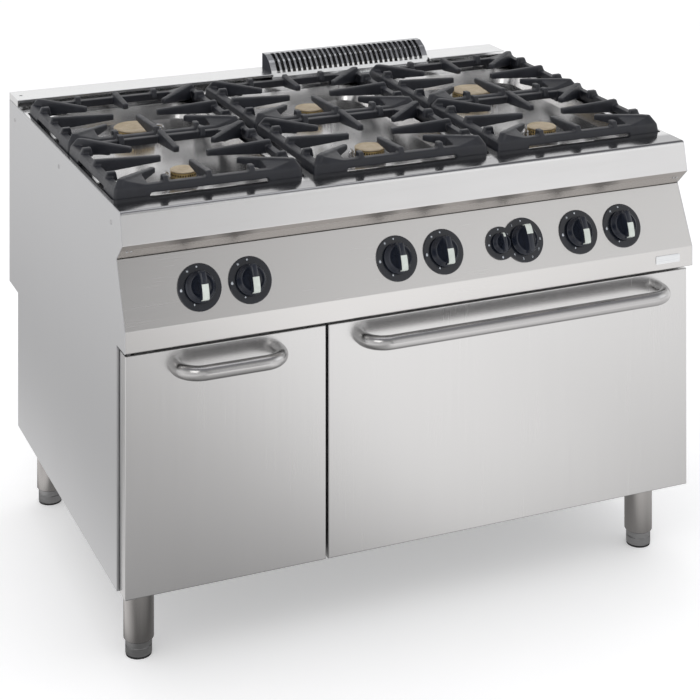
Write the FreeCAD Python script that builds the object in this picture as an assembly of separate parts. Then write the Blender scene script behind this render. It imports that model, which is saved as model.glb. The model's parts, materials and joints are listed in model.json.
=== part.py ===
import FreeCAD, Part
import math
import os

# Commercial gas range: six open burners above a gas oven and a cupboard.
# Frame: millimetres, +Z up, origin on the floor under the middle of the
# bounding box, +X to the right when facing the doors, +Y to the rear.
# All y values below are measured back from the front edge of the worktop
# and moved by SHIFT_Y when a piece is written.

Vector = FreeCAD.Vector
UP, DOWN = (0, 0, 1), (0, 0, -1)
RIGHT = (1, 0, 0)
BACK, FORWARD = (0, 1, 0), (0, -1, 0)

# ------------------------------------------------------ driving dimensions
WIDTH = 1200.0
HALF_W = WIDTH / 2
RIM_Z = 850.0             # floor to worktop rim
REAR_Y = 868.0            # rear of the upper body and the flue
LOWER_REAR_Y = 787.0      # rear of the lower body
STEP_Z = 444.5            # height of the rear service step
BODY_Z = 154.0            # underside of the body
BODY_Y = 20.0             # front face of the carcass
SHEET = 1.5               # body sheet
TOP_SHEET = 2.0           # worktop sheet
GAP = 0.1                 # clearance between neighbouring sheets
LAP = SHEET + GAP         # set-in of a sheet that lies behind another
SEAT = 0.05               # clearance under parts seated on a face
INNER_X = HALF_W - SHEET  # inner face of a side panel
SPAN_X = INNER_X - GAP    # half length of the sheets between the side panels
FRAME_Y0, FRAME_Y1 = BODY_Y + LAP, BODY_Y + 2 * LAP
FRAME_TOP = 602.0

# corners of the front profile (y, z)
FASCIA_LOW = (-13.0, 791.0)     # bottom of the worktop fascia
FASCIA_IN = (23.0, 758.0)       # inner corner under the fascia
CREASE = (-31.5, 643.0)         # crease of the control panel
PANEL_LOW = (-31.5, 603.0)

DOOR_FRONT, DOOR_BACK = -18.0, 15.0
DOOR_Z0, DOOR_Z1 = 153.0, 594.0
CUPBOARD_DOOR_X = (-595.0, -203.0)
OVEN_DOOR_X = (-198.0, 595.0)
PARTITION_X = -200.0
HANDLE_R = 13.5
HANDLE_Y = -66.5          # centreline of both bow handles
HANDLE_Z = 562.0
HANDLE_BEND = 42.0
CUPBOARD_HANDLE_X = (-499.0, -299.0)
OVEN_HANDLE_X = (-131.5, 528.5)
SHIFT_Y = -(REAR_Y + (HANDLE_Y - HANDLE_R)) / 2.0

COLUMNS = (-400.0, 0.0, 400.0)
BURNER_Y = (240.0, 572.0)
BURNERS = [(cx, by) for cx in COLUMNS for by in BURNER_Y]
HEAD_Z0, HEAD_Z1 = 822.0, 842.0
SIMMER_R, SMALL_R, LARGE_R = 26.5, 31.0, 44.0
SUPPORT_HALF_X = 190.0
SUPPORT_ROWS = ((75.0, 402.0), (405.0, 732.0))      # y of each row
SUPPORT_Z0 = 844.0
WELL_FLOOR = 810.0

KNOB_X = (-450.5, -351.4, -51.8, 47.4, 346.9, 447.7)
THERMO_X, SELECT_X = 223.0, 172.0
KNOB_UP = 58.5            # knob axis above the crease, along the slope
RUN = 0.05                # radial running clearance

HOOD_X0, HOOD_X1, HOOD_Y0, HOOD_Z1 = 0.0, 400.0, 800.0, 898.0
FLUE_X0, FLUE_X1 = 60.0, 340.0
FLUE_PORT = (FLUE_X0 + 30, FLUE_X1 - 30, 620.0, 680.0)   # x0, x1, y0, y1
INLET_X, INLET_Z = 470.0, 250.0         # gas inlet in the back panel
CAV_X0, CAV_X1 = -130.0, 530.0          # oven cavity
CAV_Y0, CAV_Y1 = 23.3, 690.0
CAV_Z0, CAV_Z1 = 205.0, 545.0
OVEN_FLOOR_Z = 238.0
OVEN_PIPE_X, OVEN_PIPE_Z = 200.0, 222.0


# ------------------------------------------------------------------ helpers
def save(name, shape):
    moved = shape.copy()
    moved.translate(Vector(0, SHIFT_Y, 0))
    moved.exportStep("parts/%s.step" % name)


def box(x0, x1, y0, y1, z0, z1):
    return Part.makeBox(x1 - x0, y1 - y0, z1 - z0, Vector(x0, y0, z0))


def cyl(start, direction, radius, length):
    return Part.makeCylinder(radius, length, Vector(*start), Vector(*direction))


def post(radius, length, z0, x=0, y=0):
    """Cylinder along +Z."""
    return Part.makeCylinder(radius, length, Vector(x, y, z0))


def ball(radius, point):
    return Part.makeSphere(radius, Vector(*point))


def fuse(items):
    return items[0].multiFuse(items[1:]).removeSplitter()


def group(items):
    return Part.makeCompound(items)


def corner_arc(before, corner, after, radius):
    """Start, middle and end of the arc that rounds a corner."""
    to_before = (before - corner).normalize()
    to_after = (after - corner).normalize()
    half = math.acos(max(-1.0, min(1.0, to_before.dot(to_after)))) / 2
    bisector = (to_before + to_after).normalize()
    setback = radius / math.tan(half)
    return (corner + to_before * setback,
            corner + bisector * (radius / math.sin(half) - radius),
            corner + to_after * setback)


def rounded(points, place):
    """Closed wire through 2D points (u, v[, radius]); place maps 2D to 3D."""
    corners = [Vector(p[0], p[1], 0) for p in points]
    radii = [p[2] if len(p) > 2 else 0.0 for p in points]
    count = len(points)
    arcs = []
    for i, corner in enumerate(corners):
        if radii[i] <= 0:
            arcs.append((corner, None, corner))
        else:
            arcs.append(corner_arc(corners[i - 1], corner, corners[(i + 1) % count], radii[i]))
    edges = []
    for i, (start, middle, end) in enumerate(arcs):
        if middle is not None:
            edges.append(Part.Arc(*[place(p.x, p.y) for p in (start, middle, end)]).toShape())
        following = arcs[(i + 1) % count][0]
        if (following - end).Length > 1e-6:
            edges.append(Part.makeLine(place(end.x, end.y), place(following.x, following.y)))
    return Part.Wire(Part.__sortEdges__(edges))


def flat_wire(points, z):
    return rounded(points, lambda x, y: Vector(x, y, z))


def prism_x(points, x0, x1):
    """Outline in (y, z) drawn out along X."""
    wire = rounded(points, lambda y, z: Vector(x0, y, z))
    return Part.Face(wire).extrude(Vector(x1 - x0, 0, 0))


def prism_z(points, z0, z1):
    """Outline in (x, y) drawn up along Z."""
    return Part.Face(flat_wire(points, z0)).extrude(Vector(0, 0, z1 - z0))


def rect(x0, x1, y0, y1, radius, inset=0.0):
    """Rectangle with rounded corners; a negative inset enlarges it."""
    x0, x1, y0, y1 = x0 + inset, x1 - inset, y0 + inset, y1 - inset
    return [(x0, y0, radius), (x1, y0, radius), (x1, y1, radius), (x0, y1, radius)]


def sheet_outline(path, thickness):
    """Outline of a folded sheet: path is the outer face (y, z, radius), the
    sheet lies to its right."""
    steps = [(b[0] - a[0], b[1] - a[1]) for a, b in zip(path, path[1:])]
    normals = [(dz / math.hypot(dy, dz), -dy / math.hypot(dy, dz)) for dy, dz in steps]
    inner = []
    for i, (y, z, radius) in enumerate(path):
        before = normals[max(i - 1, 0)]
        if i in (0, len(path) - 1):
            inner.append((y + before[0] * thickness, z + before[1] * thickness, 0.0))
            continue
        after = normals[i]
        mid_y, mid_z = before[0] + after[0], before[1] + after[1]
        length = math.hypot(mid_y, mid_z)
        mid_y, mid_z = mid_y / length, mid_z / length
        offset = thickness / (mid_y * before[0] + mid_z * before[1])
        turn = steps[i - 1][0] * steps[i][1] - steps[i - 1][1] * steps[i][0]
        inner_radius = 0.0
        if radius > 0:
            inner_radius = max(radius - thickness, 0.3) if turn < 0 else radius + thickness
        inner.append((y + mid_y * offset, z + mid_z * offset, inner_radius))
    return path + inner[::-1]


def loft(lower, upper):
    return Part.makeLoft([lower, upper], True)


def polygon_face(points):
    corners = [Vector(*p) for p in points]
    return Part.Face(Part.makePolygon(corners + corners[:1]))


def stand_up(shape, y, z):
    """Turns a flat shape upright: its y becomes z, its thickness points forward."""
    shape.Placement = FreeCAD.Placement(Vector(0, y, z), FreeCAD.Rotation(Vector(1, 0, 0), 90))
    return shape


def pipe_run(points, radius, joint_radius):
    """Straight pipes from point to point with a ball at each bend."""
    pipes = []
    for start, end in zip(points, points[1:]):
        run = Vector(*end) - Vector(*start)
        pipes.append(cyl(start, run, radius, run.Length))
    return pipes + [ball(joint_radius, p) for p in points[1:-1]]


# Slope frame of the control panel at knob height: x along the range, u up the
# slope, n outwards.
SLOPE = math.hypot(FASCIA_IN[0] - CREASE[0], FASCIA_IN[1] - CREASE[1])
U_Y, U_Z = (FASCIA_IN[0] - CREASE[0]) / SLOPE, (FASCIA_IN[1] - CREASE[1]) / SLOPE
N_Y, N_Z = -U_Z, U_Y
KNOB_Y, KNOB_Z = CREASE[0] + KNOB_UP * U_Y, CREASE[1] + KNOB_UP * U_Z


def on_panel(shape, x):
    """Places a shape drawn in (x, u, n) on the slope at knob height."""
    matrix = FreeCAD.Matrix(1, 0, 0, x,
                            0, U_Y, N_Y, KNOB_Y,
                            0, U_Z, N_Z, KNOB_Z,
                            0, 0, 0, 1)
    placed = shape.copy()
    placed.Placement = FreeCAD.Placement(matrix)
    return placed


def behind_panel(depth):
    """(y, z) of the point this far along the knob axis behind the slope."""
    return KNOB_Y - depth * N_Y, KNOB_Z - depth * N_Z


# --------------------------------------------------------------- side panels
def side_panel(side):
    """Panel with flanges folded inwards; side is -1 for left, 1 for right."""
    outline = [(0.0, RIM_Z - 1.0, 6.0), (*FASCIA_LOW, 1.0), FASCIA_IN,
               (*CREASE, 1.0), (*PANEL_LOW, 1.0), (BODY_Y, PANEL_LOW[1]),
               (BODY_Y, BODY_Z), (LOWER_REAR_Y, BODY_Z), (LOWER_REAR_Y, STEP_Z),
               (REAR_Y, STEP_Z), (REAR_Y, RIM_Z - 1.0)]
    # x of the free edge, y0, y1, z0, z1
    flanges = [(-580, BODY_Y, BODY_Y + SHEET, BODY_Z, 597),
               (-580, BODY_Y, LOWER_REAR_Y, BODY_Z, BODY_Z + SHEET),
               (-583, LOWER_REAR_Y - SHEET, LOWER_REAR_Y, BODY_Z, STEP_Z + SHEET),
               (-583, LOWER_REAR_Y, REAR_Y, STEP_Z, STEP_Z + SHEET),
               (-583, REAR_Y - SHEET, REAR_Y, STEP_Z, RIM_Z - 6)]
    panel = fuse([prism_x(outline, -HALF_W, -INNER_X)]
                 + [box(-INNER_X - 0.2, *flange) for flange in flanges])
    if side > 0:
        panel = panel.mirror(Vector(0, 0, 0), Vector(1, 0, 0))
    return panel


# ---------------------------------------------------------------- lower body
def base_pan():
    return box(-579.5, 579.5, BODY_Y + LAP, LOWER_REAR_Y - 2 * LAP, BODY_Z, BODY_Z + SHEET)


def front_frame():
    """Front sheet with the cupboard and oven openings and rearward flanges."""
    x0, x1, z0, z1 = -575.0, -222.0, 172, 580       # cupboard opening
    flange_y = FRAME_Y1 - 0.1
    frame = box(-SPAN_X, SPAN_X, FRAME_Y0, FRAME_Y1, BODY_Z + LAP, FRAME_TOP)
    frame = frame.cut(box(x0, x1, FRAME_Y0 - 1, FRAME_Y1 + 1, z0, z1))
    frame = frame.cut(box(CAV_X0, CAV_X1, FRAME_Y0 - 1, FRAME_Y1 + 1, OVEN_FLOOR_Z - 6, CAV_Z1))
    flanges = [box(-SPAN_X, SPAN_X, flange_y, FRAME_Y1 + 22, FRAME_TOP - SHEET, FRAME_TOP),
               box(x0 - SHEET, x0, flange_y, FRAME_Y1 + 18, z0, z1),
               box(x1, x1 + SHEET, flange_y, FRAME_Y1 + 18, z0, z1)]
    return frame.fuse(flanges).removeSplitter()


def partition():
    return box(PARTITION_X - SHEET / 2, PARTITION_X + SHEET / 2, FRAME_Y1 + GAP,
               LOWER_REAR_Y - 2 * LAP - GAP, BODY_Z + LAP, FRAME_TOP - LAP)


def back_panel():
    """Follows the service step; slots in the upper part, inlet hole below."""
    near, far = LAP + SHEET, LAP        # inner and outer face, from the body's rear
    back = fuse([
        box(-SPAN_X, SPAN_X, LOWER_REAR_Y - near, LOWER_REAR_Y - far, BODY_Z + LAP, STEP_Z + near),
        box(-SPAN_X, SPAN_X, LOWER_REAR_Y - near, REAR_Y - far, STEP_Z + far, STEP_Z + near),
        box(-SPAN_X, SPAN_X, REAR_Y - near, REAR_Y - far, STEP_Z + far, RIM_Z - 3.0)])
    slot_pitch, slot_width = 14, 6
    cuts = []
    for group_x in (-430.0, -100.0, 430.0):
        for k in range(9):
            x0 = group_x - 62 + k * slot_pitch
            cuts.append(box(x0, x0 + slot_width, REAR_Y - 4, REAR_Y, 640, 720))
    cuts.append(cyl((INLET_X, LOWER_REAR_Y - 10, INLET_Z), BACK, 16.0, 20))
    return back.cut(group(cuts))


# ------------------------------------------------------------------- worktop
def burner_r(cx, by):
    """Head radius of the burner at (cx, by)."""
    if by == BURNER_Y[0]:
        return SIMMER_R if cx == COLUMNS[0] else SMALL_R
    return SMALL_R if cx == COLUMNS[1] else LARGE_R


def pilot_side(by):
    """Pilots stand left of the front burners and right of the rear ones."""
    return -1 if by == BURNER_Y[0] else 1


def pilot_x(cx, by):
    return cx + pilot_side(by) * (burner_r(cx, by) + 14.0)


def ledge_rect(cx, radius, inset=0.0):
    """Outline of the recess that holds both pan supports of a column."""
    half = SUPPORT_HALF_X + 2.5
    return rect(cx - half, cx + half, SUPPORT_ROWS[0][0] - 3.0, SUPPORT_ROWS[1][1] + 3.0,
                radius, inset)


def burner_well(cx):
    """Ledge for the supports with a tapered well below it."""
    corner_r, taper = 40, 9.0

    def well_wire(inset, radius, z):
        return flat_wire(rect(cx - 170, cx + 170, 92.0, 715.0, radius, inset), z)

    ledge_out = prism_z(ledge_rect(cx, 9 + TOP_SHEET, -TOP_SHEET),
                        SUPPORT_Z0 - TOP_SHEET, RIM_Z - 0.5)
    ledge_in = prism_z(ledge_rect(cx, 9), SUPPORT_Z0, RIM_Z + 1)
    outer = loft(well_wire(-TOP_SHEET, corner_r + TOP_SHEET, SUPPORT_Z0 - 0.5),
                 well_wire(taper - TOP_SHEET, corner_r + TOP_SHEET, WELL_FLOOR))
    inner = loft(well_wire(0, corner_r, SUPPORT_Z0 + 1.0),
                 well_wire(taper, corner_r, WELL_FLOOR + TOP_SHEET))
    well = ledge_out.cut(ledge_in).fuse(outer).cut(inner)
    holes = [post(27.0, 20, WELL_FLOOR - 5, cx, by) for by in BURNER_Y]
    holes += [post(9.0, 20, WELL_FLOOR - 5, pilot_x(cx, by), by) for by in BURNER_Y]
    return well.cut(group(holes))


def worktop():
    """Folded front fascia, top sheet, three burner wells and side flanges."""
    fascia = prism_x(sheet_outline([(22.6, 758.5, 0.0), (*FASCIA_LOW, 2.5),
                                    (0.0, RIM_Z, 7.0), (60.0, RIM_Z, 0.0)], TOP_SHEET),
                     -SPAN_X, SPAN_X)
    y1 = REAR_Y - 3.3
    top = box(-SPAN_X, SPAN_X, 59.5, y1, RIM_Z - TOP_SHEET, RIM_Z)
    top = top.cut(group([prism_z(ledge_rect(cx, 9), RIM_Z - TOP_SHEET - 1, RIM_Z + 1)
                         for cx in COLUMNS]))
    top = top.cut(box(HOOD_X0 + 4, HOOD_X1 - 4, HOOD_Y0 + 4, REAR_Y - 6, RIM_Z - 5, RIM_Z + 1))
    flanges = [box(x0, x0 + TOP_SHEET, 30, y1, RIM_Z - 18, RIM_Z - 0.5)
               for x0 in (-SPAN_X, SPAN_X - TOP_SHEET)]
    return fuse([fascia, top] + [burner_well(cx) for cx in COLUMNS] + flanges)


def rear_shelf():
    """Raised shelf behind the burners, notched for the flue hood."""
    y0, top_z = 790.0, 864.5
    shelf = box(-HALF_W, HALF_W, y0, REAR_Y, RIM_Z + 0.1, top_z)
    shelf = shelf.cut(box(-INNER_X, INNER_X, y0 - 1, REAR_Y - SHEET, RIM_Z - 1, top_z - SHEET))
    lip = box(-HALF_W, HALF_W, y0, y0 + SHEET, top_z - 6, top_z)
    shelf = shelf.fuse(lip).removeSplitter()
    shelf = shelf.cut(box(HOOD_X0 - 1.0, HOOD_X1 + 1.0, y0 - 1, REAR_Y - SHEET,
                          RIM_Z - 2, top_z + 1))
    shelf = shelf.cut(post(4.0, 10, top_z - 5, -584.0, 828.0))
    front_edges = [e for e in shelf.Edges
                   if e.BoundBox.ZMin > top_z - 0.01
                   and abs(e.BoundBox.YMin - y0) < 0.01 and e.BoundBox.YLength < 0.01]
    # the radius is close to the sheet thickness: a refused fillet leaves the edge sharp
    try:
        shelf = shelf.makeFillet(1.2, front_edges)
    except Exception:
        pass
    return shelf


def flue_hood():
    """Rounded front with a row of slots, open below."""
    pitch, slot_width, slots = 13.0, 8.0, 29
    back_y = REAR_Y - SHEET - 0.2
    outer = [(HOOD_Y0, RIM_Z + 0.2), (HOOD_Y0, RIM_Z + 5.0), (HOOD_Y0 + 6, 869.0, 6.0),
             (HOOD_Y0 + 22, 887.0, 18.0), (HOOD_Y0 + 46, HOOD_Z1, 12.0),
             (back_y, HOOD_Z1, 2.0), (back_y, RIM_Z + 0.2)]
    inner = [(HOOD_Y0 + SHEET, RIM_Z - 1), (HOOD_Y0 + SHEET, RIM_Z + 5.3),
             (HOOD_Y0 + 7.3, 868.3, 5.0), (HOOD_Y0 + 22.9, 885.7, 16.5),
             (HOOD_Y0 + 46.3, HOOD_Z1 - SHEET, 10.5),
             (back_y - SHEET, HOOD_Z1 - SHEET, 0.5), (back_y - SHEET, RIM_Z - 1)]
    hood = prism_x(outer, HOOD_X0, HOOD_X1)
    hood = hood.cut(prism_x(inner, HOOD_X0 + SHEET, HOOD_X1 - SHEET))
    margin = (HOOD_X1 - HOOD_X0 - (slots - 1) * pitch - slot_width) / 2
    cuts = []
    for k in range(slots):
        x0 = HOOD_X0 + margin + k * pitch
        cuts.append(box(x0, x0 + slot_width, HOOD_Y0 - 5, HOOD_Y0 + 52, 862.5, HOOD_Z1 + 5))
    return hood.cut(group(cuts))


def flue_duct():
    """Leads back from the oven roof, then up into the hood."""
    y0, riser_y, y1 = 600.0, 812.0, 858.0
    z0, z1 = 576.0, 606.0
    inner_x = (FLUE_X0 + SHEET, FLUE_X1 - SHEET)
    duct = box(FLUE_X0, FLUE_X1, y0, y1, z0, z1)
    duct = duct.fuse(box(FLUE_X0, FLUE_X1, riser_y, y1, z0, RIM_Z + 6)).removeSplitter()
    duct = duct.cut(box(*inner_x, y0 + SHEET, y1 - SHEET, z0 + SHEET, z1 - SHEET))
    duct = duct.cut(box(*inner_x, riser_y + SHEET, y1 - SHEET, z0 + SHEET, RIM_Z + 20))
    return duct.cut(box(*FLUE_PORT, 570.0, 580.0))


# ------------------------------------------------------------- control panel
BEZEL_R, SELECT_BEZEL_R = 42.5, 31.5
BEZEL_T = 3.0
BEZEL_HOLE_R = 7.0
SPINDLE_R, SPINDLE_FLAT = 4.0, 3.0      # radius, axis to flat
KNOB_GAP = 3.5                          # knob to bezel, so that the knob can be pressed
KNOB_N = BEZEL_T + SEAT + KNOB_GAP      # inner face of the knobs
SPINDLE_N = KNOB_N + 14.0               # outer end of the spindles
LARGE_KNOB = dict(base_r=29.0, top_r=25.0, skirt_h=15.0, grip_w=14.0, grip_l=52.0, grip_h=31.0)
SMALL_KNOB = dict(base_r=20.0, top_r=17.0, skirt_h=11.0, grip_w=9.0, grip_l=34.0, grip_h=22.0)


def control_panel():
    path = [(PANEL_LOW[0] + 45, PANEL_LOW[1], 0), (*PANEL_LOW, 2.0), (*CREASE, 3.0),
            (FASCIA_IN[0], FASCIA_IN[1] - 0.6, 2.0), (FASCIA_IN[0] + 18, FASCIA_IN[1] - 0.6, 0)]
    panel = prism_x(sheet_outline(path, SHEET), -SPAN_X, SPAN_X)
    return panel.cut(group([on_panel(post(9.0, 20, -10), x)
                            for x in KNOB_X + (THERMO_X, SELECT_X)]))


def badge_plate():
    return stand_up(prism_z(rect(513, 569, 0, 16, 2.5), 0, 1.2), PANEL_LOW[0] - SEAT, 616)


def burner_bezel():
    disc = post(BEZEL_R, BEZEL_T, SEAT)
    disc = disc.makeChamfer(1.2, [e for e in disc.Edges if e.BoundBox.ZMin > BEZEL_T])
    return disc.cut(post(BEZEL_HOLE_R, 10, -2))


def oven_control_bezel():
    """Two discs joined by a neck with a waist."""
    left, right = SELECT_X + 8, THERMO_X - 20
    neck = prism_z([(left, -31), (right, -36), (right, 36), (left, 31)], SEAT, SEAT + BEZEL_T)
    neck = neck.cut(group([post(24.0, 6, -1, SELECT_X + 19, u) for u in (50.0, -50.0)]))
    bezel = post(BEZEL_R, BEZEL_T, SEAT, THERMO_X)
    bezel = bezel.fuse([post(SELECT_BEZEL_R, BEZEL_T, SEAT, SELECT_X), neck]).removeSplitter()
    for x in (THERMO_X, SELECT_X):
        bezel = bezel.cut(post(BEZEL_HOLE_R, 10, -2, x))
    return on_panel(bezel, 0)


def d_rod(n0, flat_n, n1, clearance=0.0):
    """Spindle from n0 to n1 with a flat from flat_n outwards."""
    r = SPINDLE_R + clearance
    rod = post(r, n1 - n0, n0)
    return rod.cut(box(-r - 1, r + 1, SPINDLE_FLAT + clearance, r + 2, flat_n, n1 + 1))


def knob(bore_n, base_r, top_r, skirt_h, grip_w, grip_l, grip_h):
    """Skirt with a grip bar; a blind D-shaped bore ends 0.5 beyond bore_n."""
    skirt = Part.makeCone(base_r, top_r, skirt_h, Vector(0, 0, KNOB_N))
    top_n = KNOB_N + grip_h
    outline = rect(-grip_w / 2, grip_w / 2, -grip_l / 2, grip_l / 2, min(grip_w * 0.45, 5))
    grip = prism_z(outline, KNOB_N + 0.5, top_n)
    grip = grip.makeFillet(2.0, [e for e in grip.Edges if e.BoundBox.ZMin > top_n - 0.01])
    body = skirt.fuse(grip).removeSplitter()
    return body.cut(d_rod(KNOB_N - 1, KNOB_N - 2, bore_n + 0.5, RUN))


def burner_knob():
    """The bore is deeper than the spindle by the pressing travel."""
    return knob(SPINDLE_N + KNOB_GAP, **LARGE_KNOB)


def tap_spindle():
    return d_rod(-44.0, 1.0, SPINDLE_N)


def oven_knob(sizes):
    """Knob in one piece with its spindle."""
    body = knob(SPINDLE_N, **sizes).fuse(post(SPINDLE_R + 1.0, 6.0, SPINDLE_N - 6))
    return body.fuse(d_rod(-30.0, 5.0, SPINDLE_N)).removeSplitter()


# -------------------------------------------------------------- gas fittings
TAP_N = -74.3             # rear end of the taps and the oven valve
MANIFOLD_R = 10.0
FEED_R, FEED_Z = 4.0, 778.0
MANIFOLD_Y, MANIFOLD_Z = behind_panel(85.0)
TAP_Y, TAP_Z = behind_panel(60.0)       # point where the feeds leave the taps


def gas_tap():
    tap = fuse([post(13.0, 34.0, -46.0), box(-14, 14, -14, 14, TAP_N, -44.0),
                post(17.0, 5.0, -20.0)])
    return tap.cut(post(SPINDLE_R + RUN, 36.0, -45.0))


def oven_gas_valve():
    valve = fuse([box(THERMO_X - 18, THERMO_X + 18, -22, 22, TAP_N, -18.0),
                  box(SELECT_X - 14, SELECT_X + 30, -16, 16, -70.0, -18.0)])
    for x in (THERMO_X, SELECT_X):
        valve = valve.cut(post(SPINDLE_R + RUN, 40, -31.0, x))
    return on_panel(valve, 0)


def manifold():
    """Manifold and supply pipe: from its right-hand end down to the rear inlet."""
    x, y, inlet_y = 570, 760, 840.0
    points = [(-520, MANIFOLD_Y, MANIFOLD_Z), (x, MANIFOLD_Y, MANIFOLD_Z),
              (x, MANIFOLD_Y, INLET_Z), (x, y, INLET_Z), (INLET_X, y, INLET_Z),
              (INLET_X, inlet_y, INLET_Z)]
    socket = cyl((INLET_X, inlet_y - 20.0, INLET_Z), BACK, 10.5, 20.0)
    return fuse(pipe_run(points, MANIFOLD_R, MANIFOLD_R + 3.5) + [socket])


def burner_feed(i):
    """Pipe from tap i to its burner: each column's left tap feeds the rear one."""
    x, cx = KNOB_X[i], COLUMNS[i // 2]
    by = BURNER_Y[1] if i % 2 == 0 else BURNER_Y[0]
    side = 1 if cx > x else -1
    points = [(x, TAP_Y, TAP_Z + 14.5 / U_Z + 2.0), (x, TAP_Y, FEED_Z),
              (x, by, FEED_Z), (cx - side * 22.2, by, FEED_Z)]
    return fuse(pipe_run(points, FEED_R, FEED_R + 1.5))


def oven_feed():
    """From the oven valve round the right of the oven to the oven burner."""
    x0, x1, y, z = SELECT_X + 8, 548, 727, 625.0
    points = [(x0, TAP_Y, TAP_Z - 19.0), (x0, TAP_Y, z), (x1, TAP_Y, z), (x1, y, z),
              (x1, y, OVEN_PIPE_Z), (OVEN_PIPE_X, y, OVEN_PIPE_Z),
              (OVEN_PIPE_X, CAV_Y1 + 0.2, OVEN_PIPE_Z)]
    return fuse(pipe_run(points, 5.0, 6.5))


# ------------------------------------------------------------------- burners
def spin(points, cx, by):
    """Profile (radius, z) turned about the upright axis at (cx, by)."""
    solid = polygon_face([(r, 0, z) for r, z in points])
    solid = solid.revolve(Vector(0, 0, 0), Vector(0, 0, 1), 360)
    solid.translate(Vector(cx, by, 0))
    return solid


def burner_cup(cx, by):
    r = burner_r(cx, by)
    rim_z = HEAD_Z0 - 0.1
    return spin([(0, 765), (22, 765), (22, 806), (26.5, 808), (26.5, 812.2),
                 (max(r - 2, 27.5), 812.2), (r + 3, 818), (r + 3, rim_z),
                 (r - 8, rim_z), (r - 8, 815), (12, 815), (12, 770), (0, 770)], cx, by)


def burner_head(cx, by):
    r = burner_r(cx, by)
    return spin([(0, HEAD_Z1), (r - 3, HEAD_Z1), (r - 1, HEAD_Z1 - 1.2), (r, HEAD_Z1 - 4),
                 (r, HEAD_Z0 + 2), (r - 1.5, HEAD_Z0), (r - 8.2, HEAD_Z0),
                 (r - 8.2, HEAD_Z0 - 4), (r - 12, HEAD_Z0 - 4), (r - 12, HEAD_Z1 - 6),
                 (0, HEAD_Z1 - 6)], cx, by)


def pilot_burner(cx, by):
    """Stepped post with a thin rod beside it."""
    x = pilot_x(cx, by)
    pilot = fuse([post(4.0, 46, 790, x, by), post(11.0, 4, 812.2, x, by),
                  post(5.5, 7, 828, x, by)])
    rod = post(2.5, 27, 812.3, x - 5 * pilot_side(by), by + 7)
    return pilot.fuse(rod).removeSplitter()


# -------------------------------------------------------------- pan supports
def rib(profile, thickness, along=0.0):
    """Upright plate with profile (distance out, z), centred on y = along."""
    y0 = along - thickness / 2
    return polygon_face([(out, y0, z) for out, z in profile]).extrude(Vector(0, thickness, 0))


def turned(shape, angle, cx, cy):
    """Turns a shape about Z, then moves it to the centre of a support."""
    shape.rotate(Vector(0, 0, 0), Vector(0, 0, 1), angle)
    shape.translate(Vector(cx, cy, 0))
    return shape


def arch(half, thickness):
    """Cutter that lifts the wall between two feet."""
    low, high = half - 70.0, half - 73.0
    z0, z1 = SUPPORT_Z0 - 2, 854.0
    return rib([(-low, z0), (low, z0), (high, z1), (-high, z1)], thickness)


def corner_web(top, bottom_z, cx, cy, side_x, side_y):
    """Solid under four top points (x, y, z), mirrored into one quarter."""
    points = [(cx + side_x * x, cy + side_y * y, z) for x, y, z in top]
    points += [(x, y, bottom_z) for x, y, z in points]
    faces = [(0, 1, 2), (0, 2, 3), (4, 6, 5), (4, 7, 6),
             (0, 4, 5, 1), (1, 5, 6, 2), (2, 6, 7, 3), (3, 7, 4, 0)]
    solid = Part.Solid(Part.Shell([polygon_face([points[i] for i in f]) for f in faces]))
    if solid.Volume < 0:
        solid.reverse()
    return solid


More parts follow.
